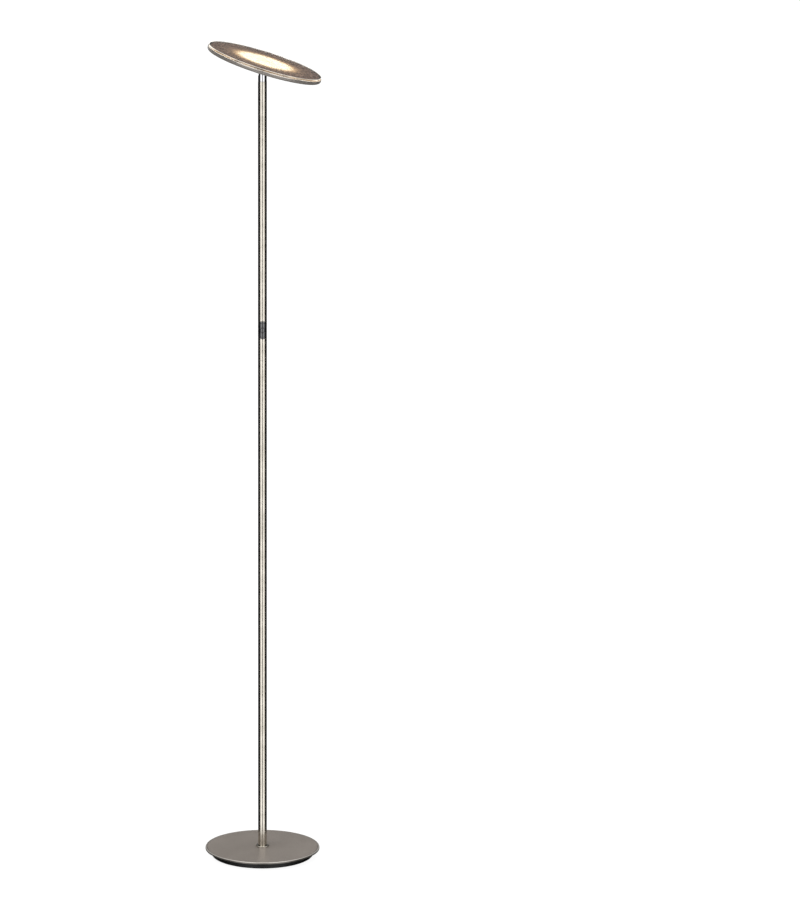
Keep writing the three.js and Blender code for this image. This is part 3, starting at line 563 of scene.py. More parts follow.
class Finish:
    """A surface finish, wired once, when it's first used."""

    def wire(self, bench: Bench) -> None:
        """Wires the finish's own shader."""
        raise NotImplementedError

    def material(self, slot: Slot) -> bpy.types.Material:
        """The finish as a material.

        Args:
            slot: The record's slot, which names the material.

        Returns:
            The material, made now or earlier.
        """
        name = f"{slot.value}_finish"
        made = bpy.data.materials.get(name)
        if made is None:
            made = bpy.data.materials.new(name)
            made.use_nodes = True
            self.wire(Bench(made.node_tree))
        return made


@dataclass(frozen=True)
class Metal(Finish):
    """Bare or plated metal: fine grain, a slow cloudiness, and lines along Z if it was drawn."""

    dark: Colour
    light: Colour
    roughness: float
    spread: float = 0.08
    grain: float = 2600.0
    cloud: float = 45.0
    drawn: float = 0.0
    depth: float = 0.0003 * MM

    def wire(self, bench: Bench) -> None:
        """Mixes the two tones by grain and cloud, and lets the same grain break the gloss."""
        grain = bench.noise(self.grain)
        cloud = bench.noise(self.cloud, 4.0)
        lines = bench.noise(900.0, 3.0, bench.spot((1, 1, 0.012)))
        tone = grain * 0.35 + cloud * 0.4 + lines * 0.25
        worn = self.roughness + (grain - 0.5) * self.spread + (lines - 0.5) * self.drawn
        height = grain + lines * (self.drawn * 8)
        bench.surface(
            {
                "Base Color": bench.mix(tone.rise(0.35, 0.65), self.dark, self.light),
                "Metallic": 1.0,
                "Roughness": worn,
                "Normal": bench.bump(height, self.depth),
            }
        )


@dataclass(frozen=True)
class Moulded(Finish):
    """Plastic, rubber or foam: a spark-eroded or porous skin and dusty, rubbed patches."""

    colour: Colour
    worn: Colour
    roughness: float
    grain: float = 1500.0
    depth: float = 0.02 * MM
    metallic: float = 0.0
    gloss: float = 0.5

    def wire(self, bench: Bench) -> None:
        """Pits the skin, and lightens and dulls it where it is rubbed."""
        pits = bench.noise(self.grain, 3.0)
        rubbed = bench.noise(38.0, 5.0).rise(0.42, 0.72)
        tone = (rubbed * 0.7 + pits * 0.3).rise(0.1, 0.9)
        bench.surface(
            {
                "Base Color": bench.mix(tone, self.colour, self.worn),
                "Metallic": self.metallic,
                "Specular IOR Level": self.gloss,
                "Roughness": self.roughness + (pits - 0.5) * 0.12 + rubbed * 0.06,
                "Normal": bench.bump(pits, self.depth),
            }
        )


@dataclass(frozen=True)
class CoverPaint(Finish):
    """Fine metallic paint on the base's cover: its rim more metallic with a painted highlight, and painted shade
    in its crease and on its side.
    """

    rim: float
    edge: float
    # Painted shade colour, for the crease and the rim's outer side.
    shadow: Colour = tint(62, 58, 54)
    dark: Colour = tint(144, 135, 127)
    light: Colour = tint(158, 149, 141)
    # Light colour of the paint's flakes, and of the painted highlight along the rim.
    polished: Colour = tint(222, 216, 208)

    def wire(self, bench: Bench) -> None:
        """Parts paint, rim highlight and polish, and the painted shade of crease and side by the distance from the
        pole's axis.
        """
        across, along, _ = bench.parts(bench.spot())
        distance = (across * across + along * along) ** 0.5
        # Painted highlight: beyond the crease the rim is lighter, and also more metallic and less rough.
        rim = distance.rise(self.rim, self.rim + 0.4 * MM)
        flake = bench.flecks(1900.0, 0.42)
        grain = bench.noise(2300.0)
        cloud = bench.noise(16.0, 4.0)
        tone = (grain * 0.5 + cloud * 0.5).rise(0.32, 0.68)
        paint = bench.mix(tone, self.dark, self.light)
        paint = bench.mix(flake * 0.3, paint, self.polished)
        # Painted shade: the crease and the rim's outer side are darkened towards the shadow colour.
        crease_shade = (distance - self.rim).bell(0.5 * MM)
        side = distance.rise(self.edge - 0.5 * MM, self.edge - 0.1 * MM)
        shade = crease_shade.maths("MAXIMUM", side) * 0.85
        bench.surface(
            {
                "Base Color": bench.mix(shade, bench.mix(rim, paint, self.polished), self.shadow),
                "Metallic": 0.35 + rim * 0.35,
                "Roughness": (0.42 + (grain - 0.5) * 0.1) * (1 - rim) + rim * 0.3,
                "Coat Weight": 0.12,
                "Coat Roughness": 0.22,
                "Normal": bench.bump(grain, 0.006 * MM),
            }
        )


@dataclass(frozen=True)
class SandPaint(Finish):
    """Sandy speckled metallic paint on the head's casing, with a painted highlight along its top lip, which is
    also fully metallic.
    """

    home: Matrix
    lip: float
    dark: Colour = tint(112, 107, 103)
    light: Colour = tint(138, 132, 126)
    # Light colour of the sand's flecks, and of the painted highlight along the lip.
    fleck: Colour = tint(226, 218, 208)
    pitted: Colour = tint(60, 57, 55)

    def wire(self, bench: Bench) -> None:
        """Speckles the paint with light and dark grains, and above the lip's height paints a highlight, fully
        metallic and less rough.
        """
        height = bench.parts(bench.spot(home=self.home))[2]
        # Painted highlight: above the lip's height the paint turns light, fully metallic and less rough.
        lip = height.rise(self.lip - 0.15 * MM, self.lip + 0.15 * MM)
        sand = bench.noise(1300.0, 3.0)
        fine = bench.flecks(1500.0, 0.3)
        coarse = bench.flecks(420.0, 0.16)
        pit = bench.flecks(520.0, 0.2, bench.spot((1.03, 0.97, 1.0)))
        paint = bench.mix(sand.rise(0.36, 0.64), self.dark, self.light)
        paint = bench.mix(pit * 0.4, paint, self.pitted)
        paint = bench.mix((fine * 0.4).maths("MAXIMUM", coarse * 0.9), paint, self.fleck)
        bench.surface(
            {
                "Base Color": bench.mix(lip, paint, self.fleck),
                "Metallic": 0.4 + lip * 0.6,
                "Roughness": (0.44 + (sand - 0.5) * 0.16) * (1 - lip * 0.5),
                "Coat Weight": 0.1,
                "Coat Roughness": 0.25,
                "Normal": bench.bump(sand + coarse, 0.014 * MM),
            }
        )


@dataclass(frozen=True)
class Lacquer(Finish):
    """Deep gloss black, with faint handling marks that only dull the gloss."""

    def wire(self, bench: Bench) -> None:
        """Keeps the colour black and varies the gloss."""
        marks = bench.noise(170.0, 6.0).rise(0.5, 0.75)
        dust = bench.flecks(700.0, 0.1)
        bench.surface(
            {
                "Base Color": bench.mix(dust * 0.3, tint(9, 9, 10), tint(70, 70, 72)),
                "Roughness": 0.07 + marks * 0.08,
                "IOR": 1.6,
                "Specular IOR Level": 1.0,
                "Coat Weight": 1.0,
                "Coat Roughness": 0.03,
                "Normal": bench.bump(bench.noise(60.0), 0.01 * MM),
            }
        )


@dataclass(frozen=True)
class ClearSheet(Finish):
    """Clear acrylic with a little dust, with painted glow on its edge wall and painted highlights at its top and
    bottom corners.
    """

    home: Matrix
    radius: float
    low: float
    high: float
    line: float = 0.9 * MM
    warm: Colour = tint(235, 196, 150)
    white: Colour = tint(255, 250, 240)
    strength: float = 1.2

    def wire(self, bench: Bench) -> None:
        """Lets the light through, and paints a faint glow onto the wall and brighter highlights onto its two
        corners.
        """
        across, along, height = bench.parts(bench.spot(home=self.home))
        distance = (across * across + along * along) ** 0.5
        wall = distance.rise(self.radius - 1.4 * MM, self.radius - 0.5 * MM)
        # Painted highlights along the edge's top and bottom corners.
        corner = height.rise(self.high - self.line, self.high - self.line / 2)
        corner = corner + (1 - height.rise(self.low + self.line * 0.3, self.low + self.line * 0.6))
        streak = bench.noise(28.0, 5.0, bench.spot((1, 1, 0.2))).rise(0.35, 0.65)
        dust = bench.flecks(300.0, 0.06)
        # Painted glow: the edge wall and, brighter, its corners emit warm to white light.
        painted_edge_glow = wall * (streak * 0.34 + 0.06 + corner * 0.6)
        bench.pane(
            {
                "Base Color": bench.mix(dust * 0.25, tint(252, 252, 252), tint(225, 222, 216)),
                "Roughness": 0.01 + bench.noise(260.0, 6.0).rise(0.6, 0.8) * 0.03,
                "IOR": 1.49,
                "Transmission Weight": 1.0,
                "Emission Color": bench.mix(painted_edge_glow, UNLIT, bench.mix(corner, self.warm, self.white)),
                "Emission Strength": self.strength,
            }
        )


@dataclass(frozen=True)
class GlowFilm(Finish):
    """Brown diffusing film, lit from behind by two rings of lights and what they spill."""

    home: Matrix
    rings: tuple[tuple[float, int], ...]
    width: float = 10.5 * MM
    halo: float = 80 * MM
    spill: float = 36 * MM
    cool: Colour = tint(182, 151, 134)
    warm: Colour = tint(208, 170, 138)
    amber: Colour = tint(255, 208, 150)
    white: Colour = tint(255, 246, 214)
    strength: float = 3.0

    def wire(self, bench: Bench) -> None:
        """Adds a bell of light over each lamp, a pool inside the rings and a broad bell over all.

        In the head's plane the distance to a ring's nearest lamp comes from folding the angle
        into one of its n cells: a' = a - (2 pi / n) round(a n / 2 pi).
        """
        across, along, _ = bench.parts(bench.spot(home=self.home))
        distance = (across * across + along * along) ** 0.5
        angle = along.maths("ARCTAN2", across)
        spots: Number = 0.0
        for radius, count in self.rings:
            turn = 2 * math.pi / count
            folded = angle - (angle / turn).maths("ROUND") * turn
            east = distance * folded.maths("COSINE") - radius
            north = distance * folded.maths("SINE")
            spots = spots + ((east * east + north * north) ** 0.5).bell(self.width)
        halo = distance.bell(self.halo)
        ripple = bench.noise(520.0, 3.0) * 0.1 + bench.noise(30.0) * 0.1 + 0.9
        pool = 1 - distance.rise(self.rings[-1][0], self.rings[-1][0] + self.spill)
        glow = (spots * 0.4 + pool * 0.5 + halo * 0.34) * ripple
        # Painted light: the film's own colour warms from cool to warm under the broad halo.
        body = bench.mix(halo.rise(0.0, 0.9), self.cool, self.warm)
        light = bench.mix(glow.rise(0.25, 1.05), self.amber, self.white)
        ember = bench.mix(glow.rise(0.02, 1.05), UNLIT, light)
        bench.surface(
            {
                "Base Color": body,
                "Roughness": 0.3 + bench.noise(900.0) * 0.1,
                "Emission Color": ember,
                "Emission Strength": self.strength,
                "Coat Weight": 0.3,
                "Coat Roughness": 0.12,
                "Normal": bench.bump(bench.noise(1600.0), 0.003 * MM),
            }
        )


@dataclass(frozen=True)
class CircuitBoard(Finish):
    """Green solder resist over copper tracks, with tinned pads."""

    def wire(self, bench: Bench) -> None:
        """Draws tracks with a brick pattern and pads with flecks."""
        settings = {"offset": 0.37, "squash": 1.6}
        inputs = {"Vector": bench.spot(), "Scale": 240.0, "Mortar Size": 0.06}
        tracks = bench.node("ShaderNodeTexBrick", settings, inputs, output="Fac")
        pads = bench.flecks(330.0, 0.25)
        resist = bench.mix(tracks, tint(20, 78, 44), tint(52, 120, 66))
        bench.surface(
            {
                "Base Color": bench.mix(pads, resist, tint(200, 200, 196)),
                "Metallic": pads * 0.9,
                "Roughness": 0.32 + bench.noise(1200.0) * 0.2,
                "Normal": bench.bump(tracks + pads, 0.03 * MM),
            }
        )


@dataclass(frozen=True)
class LightBoard(Finish):
    """White board with pale yellow lights standing on it."""

    home: Matrix
    top: float

    def wire(self, bench: Bench) -> None:
        """Parts the lights from the board by height."""
        height = bench.parts(bench.spot(home=self.home))[2]
        light = height.rise(self.top, self.top + 0.3 * MM)
        print_ = bench.noise(260.0, 4.0).rise(0.55, 0.6)
        board = bench.mix(print_ * 0.4, tint(238, 236, 230), tint(196, 196, 190))
        bench.surface(
            {
                "Base Color": bench.mix(light, board, tint(240, 214, 110)),
                "Roughness": 0.45 - light * 0.2,
                "Normal": bench.bump(bench.noise(1400.0), 0.01 * MM),
            }
        )


# ---------------------------------------------------------------- pieces


@dataclass(frozen=True)
class Workshop:
    """Makes finished pieces and dresses what the frame already shows."""

    finishes: Mapping[Slot, Finish]

    def show(
        self,
        name: str,
        grids: Sequence[Array],
        body: Body,
        slot: Slot,
        replaced: Sequence[str],
        crease: float = 32.0,
    ) -> bpy.types.Object:
        """Welds grids into a piece, gives it its finish, and joins it to the frame.

        Args:
            name: The piece's name.
            grids: Grids of points whose edges meet.
            body: The body that it rides on.
            slot: The material slot that it takes its finish from.
            replaced: The frame nodes that it stands for.
            crease: The angle in degrees past which an edge is sharp.

        Returns:
            The finished object.
        """
        points, squares, triangles = welded(grids)
        mesh = bpy.data.meshes.new(name)
        mesh.from_pydata(points.tolist(), [], squares.tolist() + triangles.tolist())
        shell = bmesh.new()
        shell.from_mesh(mesh)
        bmesh.ops.recalc_face_normals(shell, faces=shell.faces)
        gaps = sum(not edge.is_manifold for edge in shell.edges)
        shell.to_mesh(mesh)
        shell.free()
        mesh.shade_smooth()
        mesh.set_sharp_from_angle(angle=math.radians(crease))
        mesh.materials.append(self.finishes[slot].material(slot))
        piece = bpy.data.objects.new(name, mesh)
        bpy.context.scene.collection.objects.link(piece)
        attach(piece, body.value)
        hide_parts(*replaced)
        LOG.info("%s: %d faces, %d open edges, on %s", name, len(mesh.polygons), gaps, body.value)
        return piece

    def dress_frame(self) -> None:
        """Gives every frame node the finish of its slot in the record."""
        for entry in frame["record"]["subparts"]:
            slot = Slot(entry["material_slot"])
            mesh = frame["nodes"][entry["node"]].data
            mesh.materials.clear()
            mesh.materials.append(self.finishes[slot].material(slot))
            LOG.info("%s: dressed in %s", entry["node"], slot.value)


@dataclass(frozen=True)
class Base:
    """Pressed cover with a creased rim, moulded tray, foot pad, gland and collar."""

    crease_inset: float = 3.7 * MM
    crease_width: float = 1.3 * MM
    crease_depth: float = 0.6 * MM
    rim_rounding: float = 2.0 * MM
    cover_wall: float = 1.4 * MM
    tray_wall: float = 1.8 * MM
    tray_inset: float = 13.0 * MM
    tray_taper: float = 1.0 * MM
    tray_rounding: float = 3.0 * MM
    pocket_margin: float = 5.0 * MM
    pad_edge: float = 0.5 * MM
    collar_chamfer: float = 0.9 * MM
    gland_body: float = 4.0 * MM
    gland_bore: float = 2.0 * MM
    gland_flange: float = 1.7 * MM
    gland_lead_in: float = 1.0 * MM
    gland_edge: float = 0.35 * MM

    @property
    def rim(self) -> float:
        """Radius at which the rim begins, which gets a painted highlight and a more metallic finish."""
        return upright("base_cover").radius - self.crease_inset

    def cover(self) -> list[Array]:
        """Flat top, a V crease near the edge, and a rounded rim turned down."""
        size = upright("base_cover")
        outer = size.radius - SHAVING
        inner, hole = outer - self.cover_wall, upright("base_stud").radius + FIT
        half, fine = self.crease_width / 2, 0.1 * MM
        corners = [
            (inner, size.low, 0.1 * MM),
            (outer, size.low, 0.4 * MM),
            (outer, size.high, self.rim_rounding),
            (self.rim + half, size.high, fine),
            (self.rim, size.high - self.crease_depth, fine),
            (self.rim - half, size.high, fine),
            (hole, size.high, fine),
            (hole, size.high - self.cover_wall, 0.0),
            (inner, size.high - self.cover_wall, 1.0 * MM),
        ]
        return [turned(filleted(corners, 8), 288)]

    def tray(self) -> list[Array]:
        """Floor with a rounded foot, a leaning side and a flange under the cover."""
        size, rim = upright("base_tray"), upright("base_cover")
        top = rim.radius - self.tray_inset
        foot, opening = top - self.tray_taper, upright("base_washer").radius + self.pocket_margin
        corners = [
            (opening, size.low, 0.2 * MM),
            (foot, size.low, self.tray_rounding),
            (top, rim.low + FIT, 0.3 * MM),
            (size.radius, rim.low + FIT, 0.2 * MM),
            (size.radius, size.high, 0.2 * MM),
            (top - self.tray_wall, size.high, 0.2 * MM),
            (foot - self.tray_wall, size.low + self.tray_wall, 1.0 * MM),
            (opening, size.low + self.tray_wall, 0.2 * MM),
        ]
        return [turned(filleted(corners, 8), 256)]

    def pad(self) -> list[Array]:
        """Disc of foam with softened edges."""
        size = upright("foot_pad")
        return [turned(strip(0.0, size.radius, size.low, size.high, self.pad_edge, 0.0, 6))]

    def collar(self) -> list[Array]:
        """Low chamfered ring round the pole's foot."""
        size = upright("pole_collar")
        inner = upright("lower_pole").radius + FIT
        fine = 0.15 * MM
        corners = [
            (inner, size.low, 0.05 * MM),
            (size.radius, size.low, fine),
            (size.radius, size.high - self.collar_chamfer, fine),
            (size.radius - self.collar_chamfer, size.high, fine),
            (inner, size.high, fine),
        ]
        return [turned(filleted(corners), 160)]

    def gland(self) -> list[Array]:
        """Grommet turned about its own axis, which lies along +Y: two flanges on a bored body."""
        low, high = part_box("cord_gland")
        flange = (high.x - low.x) / 2
        inside, outside = low.y + self.gland_flange, high.y - self.gland_flange
        soft = self.gland_edge
        corners = [
            (self.gland_bore, low.y, soft),
            (flange, low.y, soft),
            (flange, inside, soft),
            (self.gland_body, inside, soft),
            (self.gland_body, outside, soft),
            (flange, outside, soft),
            (flange - self.gland_lead_in, high.y, soft),
            (self.gland_bore, high.y, soft),
        ]
        return placed([turned(filleted(corners), 72)], lying((low.z + high.z) / 2))

    def build(self, shop: Workshop) -> None:
        """Builds and dresses the base's pieces."""
        stand = Body.STAND
        shop.show("pressed_cover", self.cover(), stand, Slot.BASE_PAINT, ["base_cover"])
        shop.show("moulded_tray", self.tray(), stand, Slot.BLACK_TRAY, ["base_tray"])
        shop.show("floor_pad", self.pad(), stand, Slot.FOAM_PAD, ["foot_pad"])
        shop.show("foot_collar", self.collar(), stand, Slot.SATIN_NICKEL, ["pole_collar"])
        shop.show("lead_grommet", self.gland(), stand, Slot.BLACK_RUBBER, ["cord_gland"])


@dataclass(frozen=True)
class Pole:
    """Three drawn tubes, the upper one with a round-ended window for the control panel."""

    wall: float = 1.2 * MM
    edge: float = 0.2 * MM
    bore_edge: float = 0.05 * MM
    window_flare: float = 1.15
    window_half_width: float = 8.6 * MM
    window_half_length: float = 20.0 * MM
    places: int = 160

    def tube(self, node: str) -> list[Array]:
        """Plain tube with softened ends."""
        size = upright(node)
        bore = size.radius - self.wall
        profile = strip(bore, size.radius, size.low, size.high, self.edge, self.bore_edge, 4)
        return [turned(profile, self.places)]

    def windowed(self) -> list[Array]:
        """Tube whose wall opens at the front.

        Each height z has a half opening w(z), which is arcsin(x / R) of the window's outline
        and 0 beyond its ends. The wall runs round from w to 2 pi - w, measured from -Y.

        Returns:
            The outside, the inside, the window's edges and the two ends.
        """
        size, panel = upright("upper_pole"), upright("control_housing")
        middle = (panel.low + panel.high) / 2
        rows = middle - self.window_half_length * np.cos(np.linspace(0, math.pi, 97))
        height = np.concatenate([[size.low], rows, [size.high]])
        beyond = np.abs(height - middle) - (self.window_half_length - self.window_half_width)
        end = np.clip(beyond, 0, self.window_half_width)
        half_width = np.sqrt(np.maximum(self.window_half_width**2 - end**2, 0))
        half_width[np.abs(height - middle) >= self.window_half_length - 1e-9] = 0.0
        opening = np.arcsin(half_width / size.radius)[:, None]
        share = np.linspace(0, 1, self.places + 1)
        sides = []
        for radius, spread in ((size.radius, 1.0), (size.radius - self.wall, self.window_flare)):
            half = opening * spread
            angle = half + share * (2 * math.pi - 2 * half)
            up = np.broadcast_to(height[:, None], angle.shape)
            sides.append(np.stack([radius * np.sin(angle), -radius * np.cos(angle), up], axis=-1))
        outer, inner = sides
        in_window = slice(1, -1)
        edges = [stacked(outer[in_window, side], inner[in_window, side]) for side in (0, -1)]
        ends = [stacked(outer[row], inner[row]) for row in (0, -1)]
        return [outer, inner, *edges, *ends]

    def build(self, shop: Workshop) -> None:
        """Builds and dresses the three tubes."""
        for name in ("lower", "middle"):
            grids = self.tube(f"{name}_pole")
            shop.show(f"{name}_tube", grids, Body.STAND, Slot.SATIN_NICKEL, [f"{name}_pole"])
        shop.show("upper_tube", self.windowed(), Body.STAND, Slot.SATIN_NICKEL, ["upper_pole"])


@dataclass(frozen=True)
class ControlPanel:
    """Round-ended gloss panel that follows the pole, with three buttons let into it."""

    half_width: float = 8.3 * MM
    chamfer: float = 0.25 * MM
    gap: float = 0.25 * MM
    fall: float = 0.12 * MM
    power_radius: float = 4.5 * MM
    key_half_width: float = 5.2 * MM
    key_near: float = 6.0 * MM
    key_far: float = 15.6 * MM
    key_crown: float = 2.8 * MM
    key_dip: float = 0.7 * MM
    fullness: float = 0.8
    band: float = 5.25 * MM
    back: float = 3.4 * MM
    key_back: float = 5.2 * MM

    @property
    def middle(self) -> float:
        """Height of the panel's middle."""
        size = upright("control_housing")
        return (size.low + size.high) / 2

    @property
    def half_length(self) -> float:
        """Half the panel's length."""
        size = upright("control_housing")
        return (size.high - size.low) / 2

    @staticmethod
    def face(node: str) -> float:
        """How far a node's curved face stands from the pole's axis."""
        return -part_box(node)[0].y

    def bent(self, outline: Array, radius: float) -> Array:
        """Lays an outline on a cylinder about the pole: (x, -sqrt(r^2 - x^2), middle + z).

        Args:
            outline: Rows of across and up, from the panel's middle.
            radius: The cylinder's radius.

        Returns:
            Rows of points.
        """
        across, up = outline[..., 0], outline[..., 1]
        deep = -np.sqrt(radius**2 - across**2)
        return np.stack([across, deep, self.middle + up], axis=-1)

    def flat(self, outline: Array, depth: float) -> Array:
        """Lays an outline on the plane y = -depth."""
        across, up = outline[..., 0], outline[..., 1]
        return np.stack([across, np.full_like(across, -depth), self.middle + up], axis=-1)

    def power_outline(self, grow: float) -> Array:
        """Circle from its lowest point: r (sin t, -cos t)."""
        angle = np.linspace(0, 2 * math.pi, 121)
        return (self.power_radius + grow) * np.stack([np.sin(angle), -np.cos(angle)], axis=-1)

    def key_outline(self, grow: float) -> Array:
        """Outline of the upper button from the middle of its near edge.

        Straight sides join a dipped near edge and a crowned far edge, both quadratic curves
        (1 - s)^2 a + 2 s (1 - s) b + s^2 c. It is resampled evenly by its running length.

        Args:
            grow: How far the outline stands outside the button's.

        Returns:
            Rows of across and up.
        """
        near, far, wide = self.key_near - grow, self.key_far + grow, self.key_half_width + grow
        share = np.linspace(0, 1, 40)[:, None]

        def curve(start: Sequence[float], pull: Sequence[float], end: Sequence[float]) -> Array:
            """Quadratic curve from start to end, pulled towards a third point."""
            first, handle, last = np.array(start), np.array(pull), np.array(end)
            return (1 - share) ** 2 * first + 2 * share * (1 - share) * handle + share**2 * last

        corner, shoulder = near - self.key_dip, far - self.key_crown
        whole_dip = curve((-wide, corner), (0, near + self.key_dip), (wide, corner))
        crown = curve((wide, shoulder), (wide * self.fullness, far), (0, far))
        right = np.vstack([whole_dip[whole_dip[:, 0] > 0], crown])
        right = np.vstack([[0, near], right])
        path = np.vstack([right, (right * [-1, 1])[::-1]])
        step = np.linalg.norm(np.diff(path, axis=0), axis=1)
        length = np.concatenate([[0], np.cumsum(step)])
        even = np.linspace(0, length[-1], 121)
        return np.stack([np.interp(even, length, path[:, axis]) for axis in (0, 1)], axis=-1)

    def border(self, end_band: bool, inset: float) -> Array:
        """Border of a band of the panel, from the middle of its near edge.

        Args:
            end_band: Whether it is a band with a round end, and not the middle one.
            inset: How far the border stands inside the panel's edge.

        Returns:
            Rows of across and up, the same number for both kinds.
        """
        wide = self.half_width - inset
        near = np.linspace(0, wide, 21)[:-1]
        if not end_band:
            side = np.linspace(-self.band, self.band, 21)[:-1]
            top = np.linspace(wide, -wide, 41)[:-1]
            across = [near, np.full(20, wide), top, np.full(20, -wide), near - wide]
            under, over = np.full(20, -self.band), np.full(40, self.band)
            up = [under, side, over, -side, under]
            path = np.stack([np.concatenate(across), np.concatenate(up)], axis=-1)
            return np.vstack([path, path[:1]])
        straight = self.half_length - self.half_width
        side = np.linspace(self.band, straight, 11)[:-1]
        angle = np.linspace(0, math.pi, 61)
        right = np.stack([near, np.full(20, self.band)], axis=-1)
        rise = np.stack([np.full(10, wide), side], axis=-1)
        cap = np.stack([wide * np.cos(angle), straight + wide * np.sin(angle)], axis=-1)
        fall = (rise * [-1, 1])[::-1]
        back = np.stack([-near[::-1], np.full(20, self.band)], axis=-1)
        return np.vstack([right, rise, cap, fall, back])

    def panel(self) -> list[Array]:
        """Plate in three bands, each a grid from its button's hole out to its border.

        Returns:
            For each band the face, the hole's wall, the back and the outer wall.
        """
        radius = self.face("control_housing")
        low = radius - self.chamfer
        grids = []
        for band in (-1, 0, 1):
            hole = self.power_outline if band == 0 else self.key_outline
            edge, edge_in = self.border(band != 0, 0.0), self.border(band != 0, self.chamfer)
            rim, rim_in = hole(self.gap + self.chamfer), hole(self.gap)
            spans = [slice(20, 101)] if band else [slice(20, 41), slice(80, 101)]
            lift = np.array([1, -1 if band < 0 else 1])
            edge, edge_in, rim, rim_in = (row * lift for row in (edge, edge_in, rim, rim_in))
            flat_rim, flat_edge = self.flat(rim_in, self.back), self.flat(edge, self.back)
            share = np.linspace(0, 1, 11)[:, None, None]
            face = self.bent((1 - share) * rim + share * edge_in, radius)
            wall = stacked(flat_rim, self.bent(rim_in, low), self.bent(rim, radius))
            grids += [face, wall, between(flat_rim, flat_edge, 4)]
            side = stacked(self.bent(edge_in, radius), self.bent(edge, low), flat_edge)
            grids += [side[:, span] for span in spans]
        return grids

    def key(self, node: str, outline: Callable[[float], Array], centre: float, side: int) -> list[Array]:
        """Button: a face that follows the pole and falls away softly at its edge.

        Args:
            node: The frame node of the button.
            outline: Its outline, given how far to grow it.
            centre: Height of its middle above the panel's, before any mirroring.
            side: -1 to mirror it below the panel's middle.

        Returns:
            One grid, from the middle of the face round to the middle of the back.
        """
        radius = self.face(node)
        lift = np.array([1, side])
        whole, inner = outline(0.0) * lift, outline(-self.chamfer) * lift
        hub = np.array([0, centre * side]) * np.ones_like(whole)
        share = np.linspace(0, 1, 13)[:, None, None]
        face = self.bent((1 - share) * hub + share * inner, radius)
        face[..., 1] += self.fall * share[..., 0] ** 4
        foot = self.flat(whole, self.key_back)
        rim = self.bent(whole, radius - self.chamfer - self.fall)
        return [np.concatenate([face, rim[None], foot[None], self.flat(hub, self.key_back)[None]])]

    def build(self, shop: Workshop) -> None:
        """Builds and dresses the panel and its buttons."""
        black, key_centre = Slot.GLOSS_BLACK, (self.key_near + self.key_far) / 2
        shop.show("control_panel", self.panel(), Body.STAND, black, ["control_housing"])
        keys = (
            ("brighter_key", "dim_up_button", self.key_outline, key_centre, 1, Body.DIM_UP),
            ("power_key", "power_button", self.power_outline, 0.0, 1, Body.POWER),
            ("dimmer_key", "dim_down_button", self.key_outline, key_centre, -1, Body.DIM_DOWN),
        )
        for name, node, outline, centre, side, body in keys:
            shop.show(name, self.key(node, outline, centre, side), body, black, [node])


def driven_head(
    radius: float, height: float, shank: float, length: float, recess: Recess, size: float
) -> Array:
    """Screw that stands on its head's underside, as rings about Z.

    A hexagon's outline is r(t) = a / cos(t mod 60 - 30), with a half its width over flats. A
    cross's is the larger of two arms, each the smaller of L/|cos t| and w/|sin t|.

    Args:
        radius: The head's radius.
        height: The head's height.
        shank: The shank's radius.
        length: The shank's length below the head.
        recess: The recess' shape.
        size: Half the hexagon's width, or the cross's reach.

    Returns:
        A grid of points.
    """
    angle = np.linspace(0, 2 * math.pi, 97)
    if recess is Recess.HEX:
        drive = size / np.cos(np.mod(angle, math.pi / 3) - math.pi / 6)
    else:
        cosine = np.maximum(np.abs(np.cos(angle)), TINY)
        sine = np.maximum(np.abs(np.sin(angle)), TINY)
        arm = size * 0.3
        flat, tall = np.minimum(size / cosine, arm / sine), np.minimum(size / sine, arm / cosine)
        drive = np.maximum(flat, tall)
    quarter = np.linspace(0, math.pi / 2, 7)
    crown = min(radius, height) * 0.3
    round_off = np.stack(
        [radius - crown + crown * np.cos(quarter), height - crown + crown * np.sin(quarter)], axis=-1
    )
    plain = np.vstack([[[0, -length], [shank, -length], [shank, 0], [radius, 0]], round_off])
    rings = [np.full_like(angle, ring) for ring in plain[:, 0]]
    rings += [drive, drive * 0.92, np.zeros_like(angle)]
    deep = height * 0.45
    heights = np.concatenate([plain[:, 1], [height, deep, deep]])
    return ringed(np.array(rings), heights, angle)


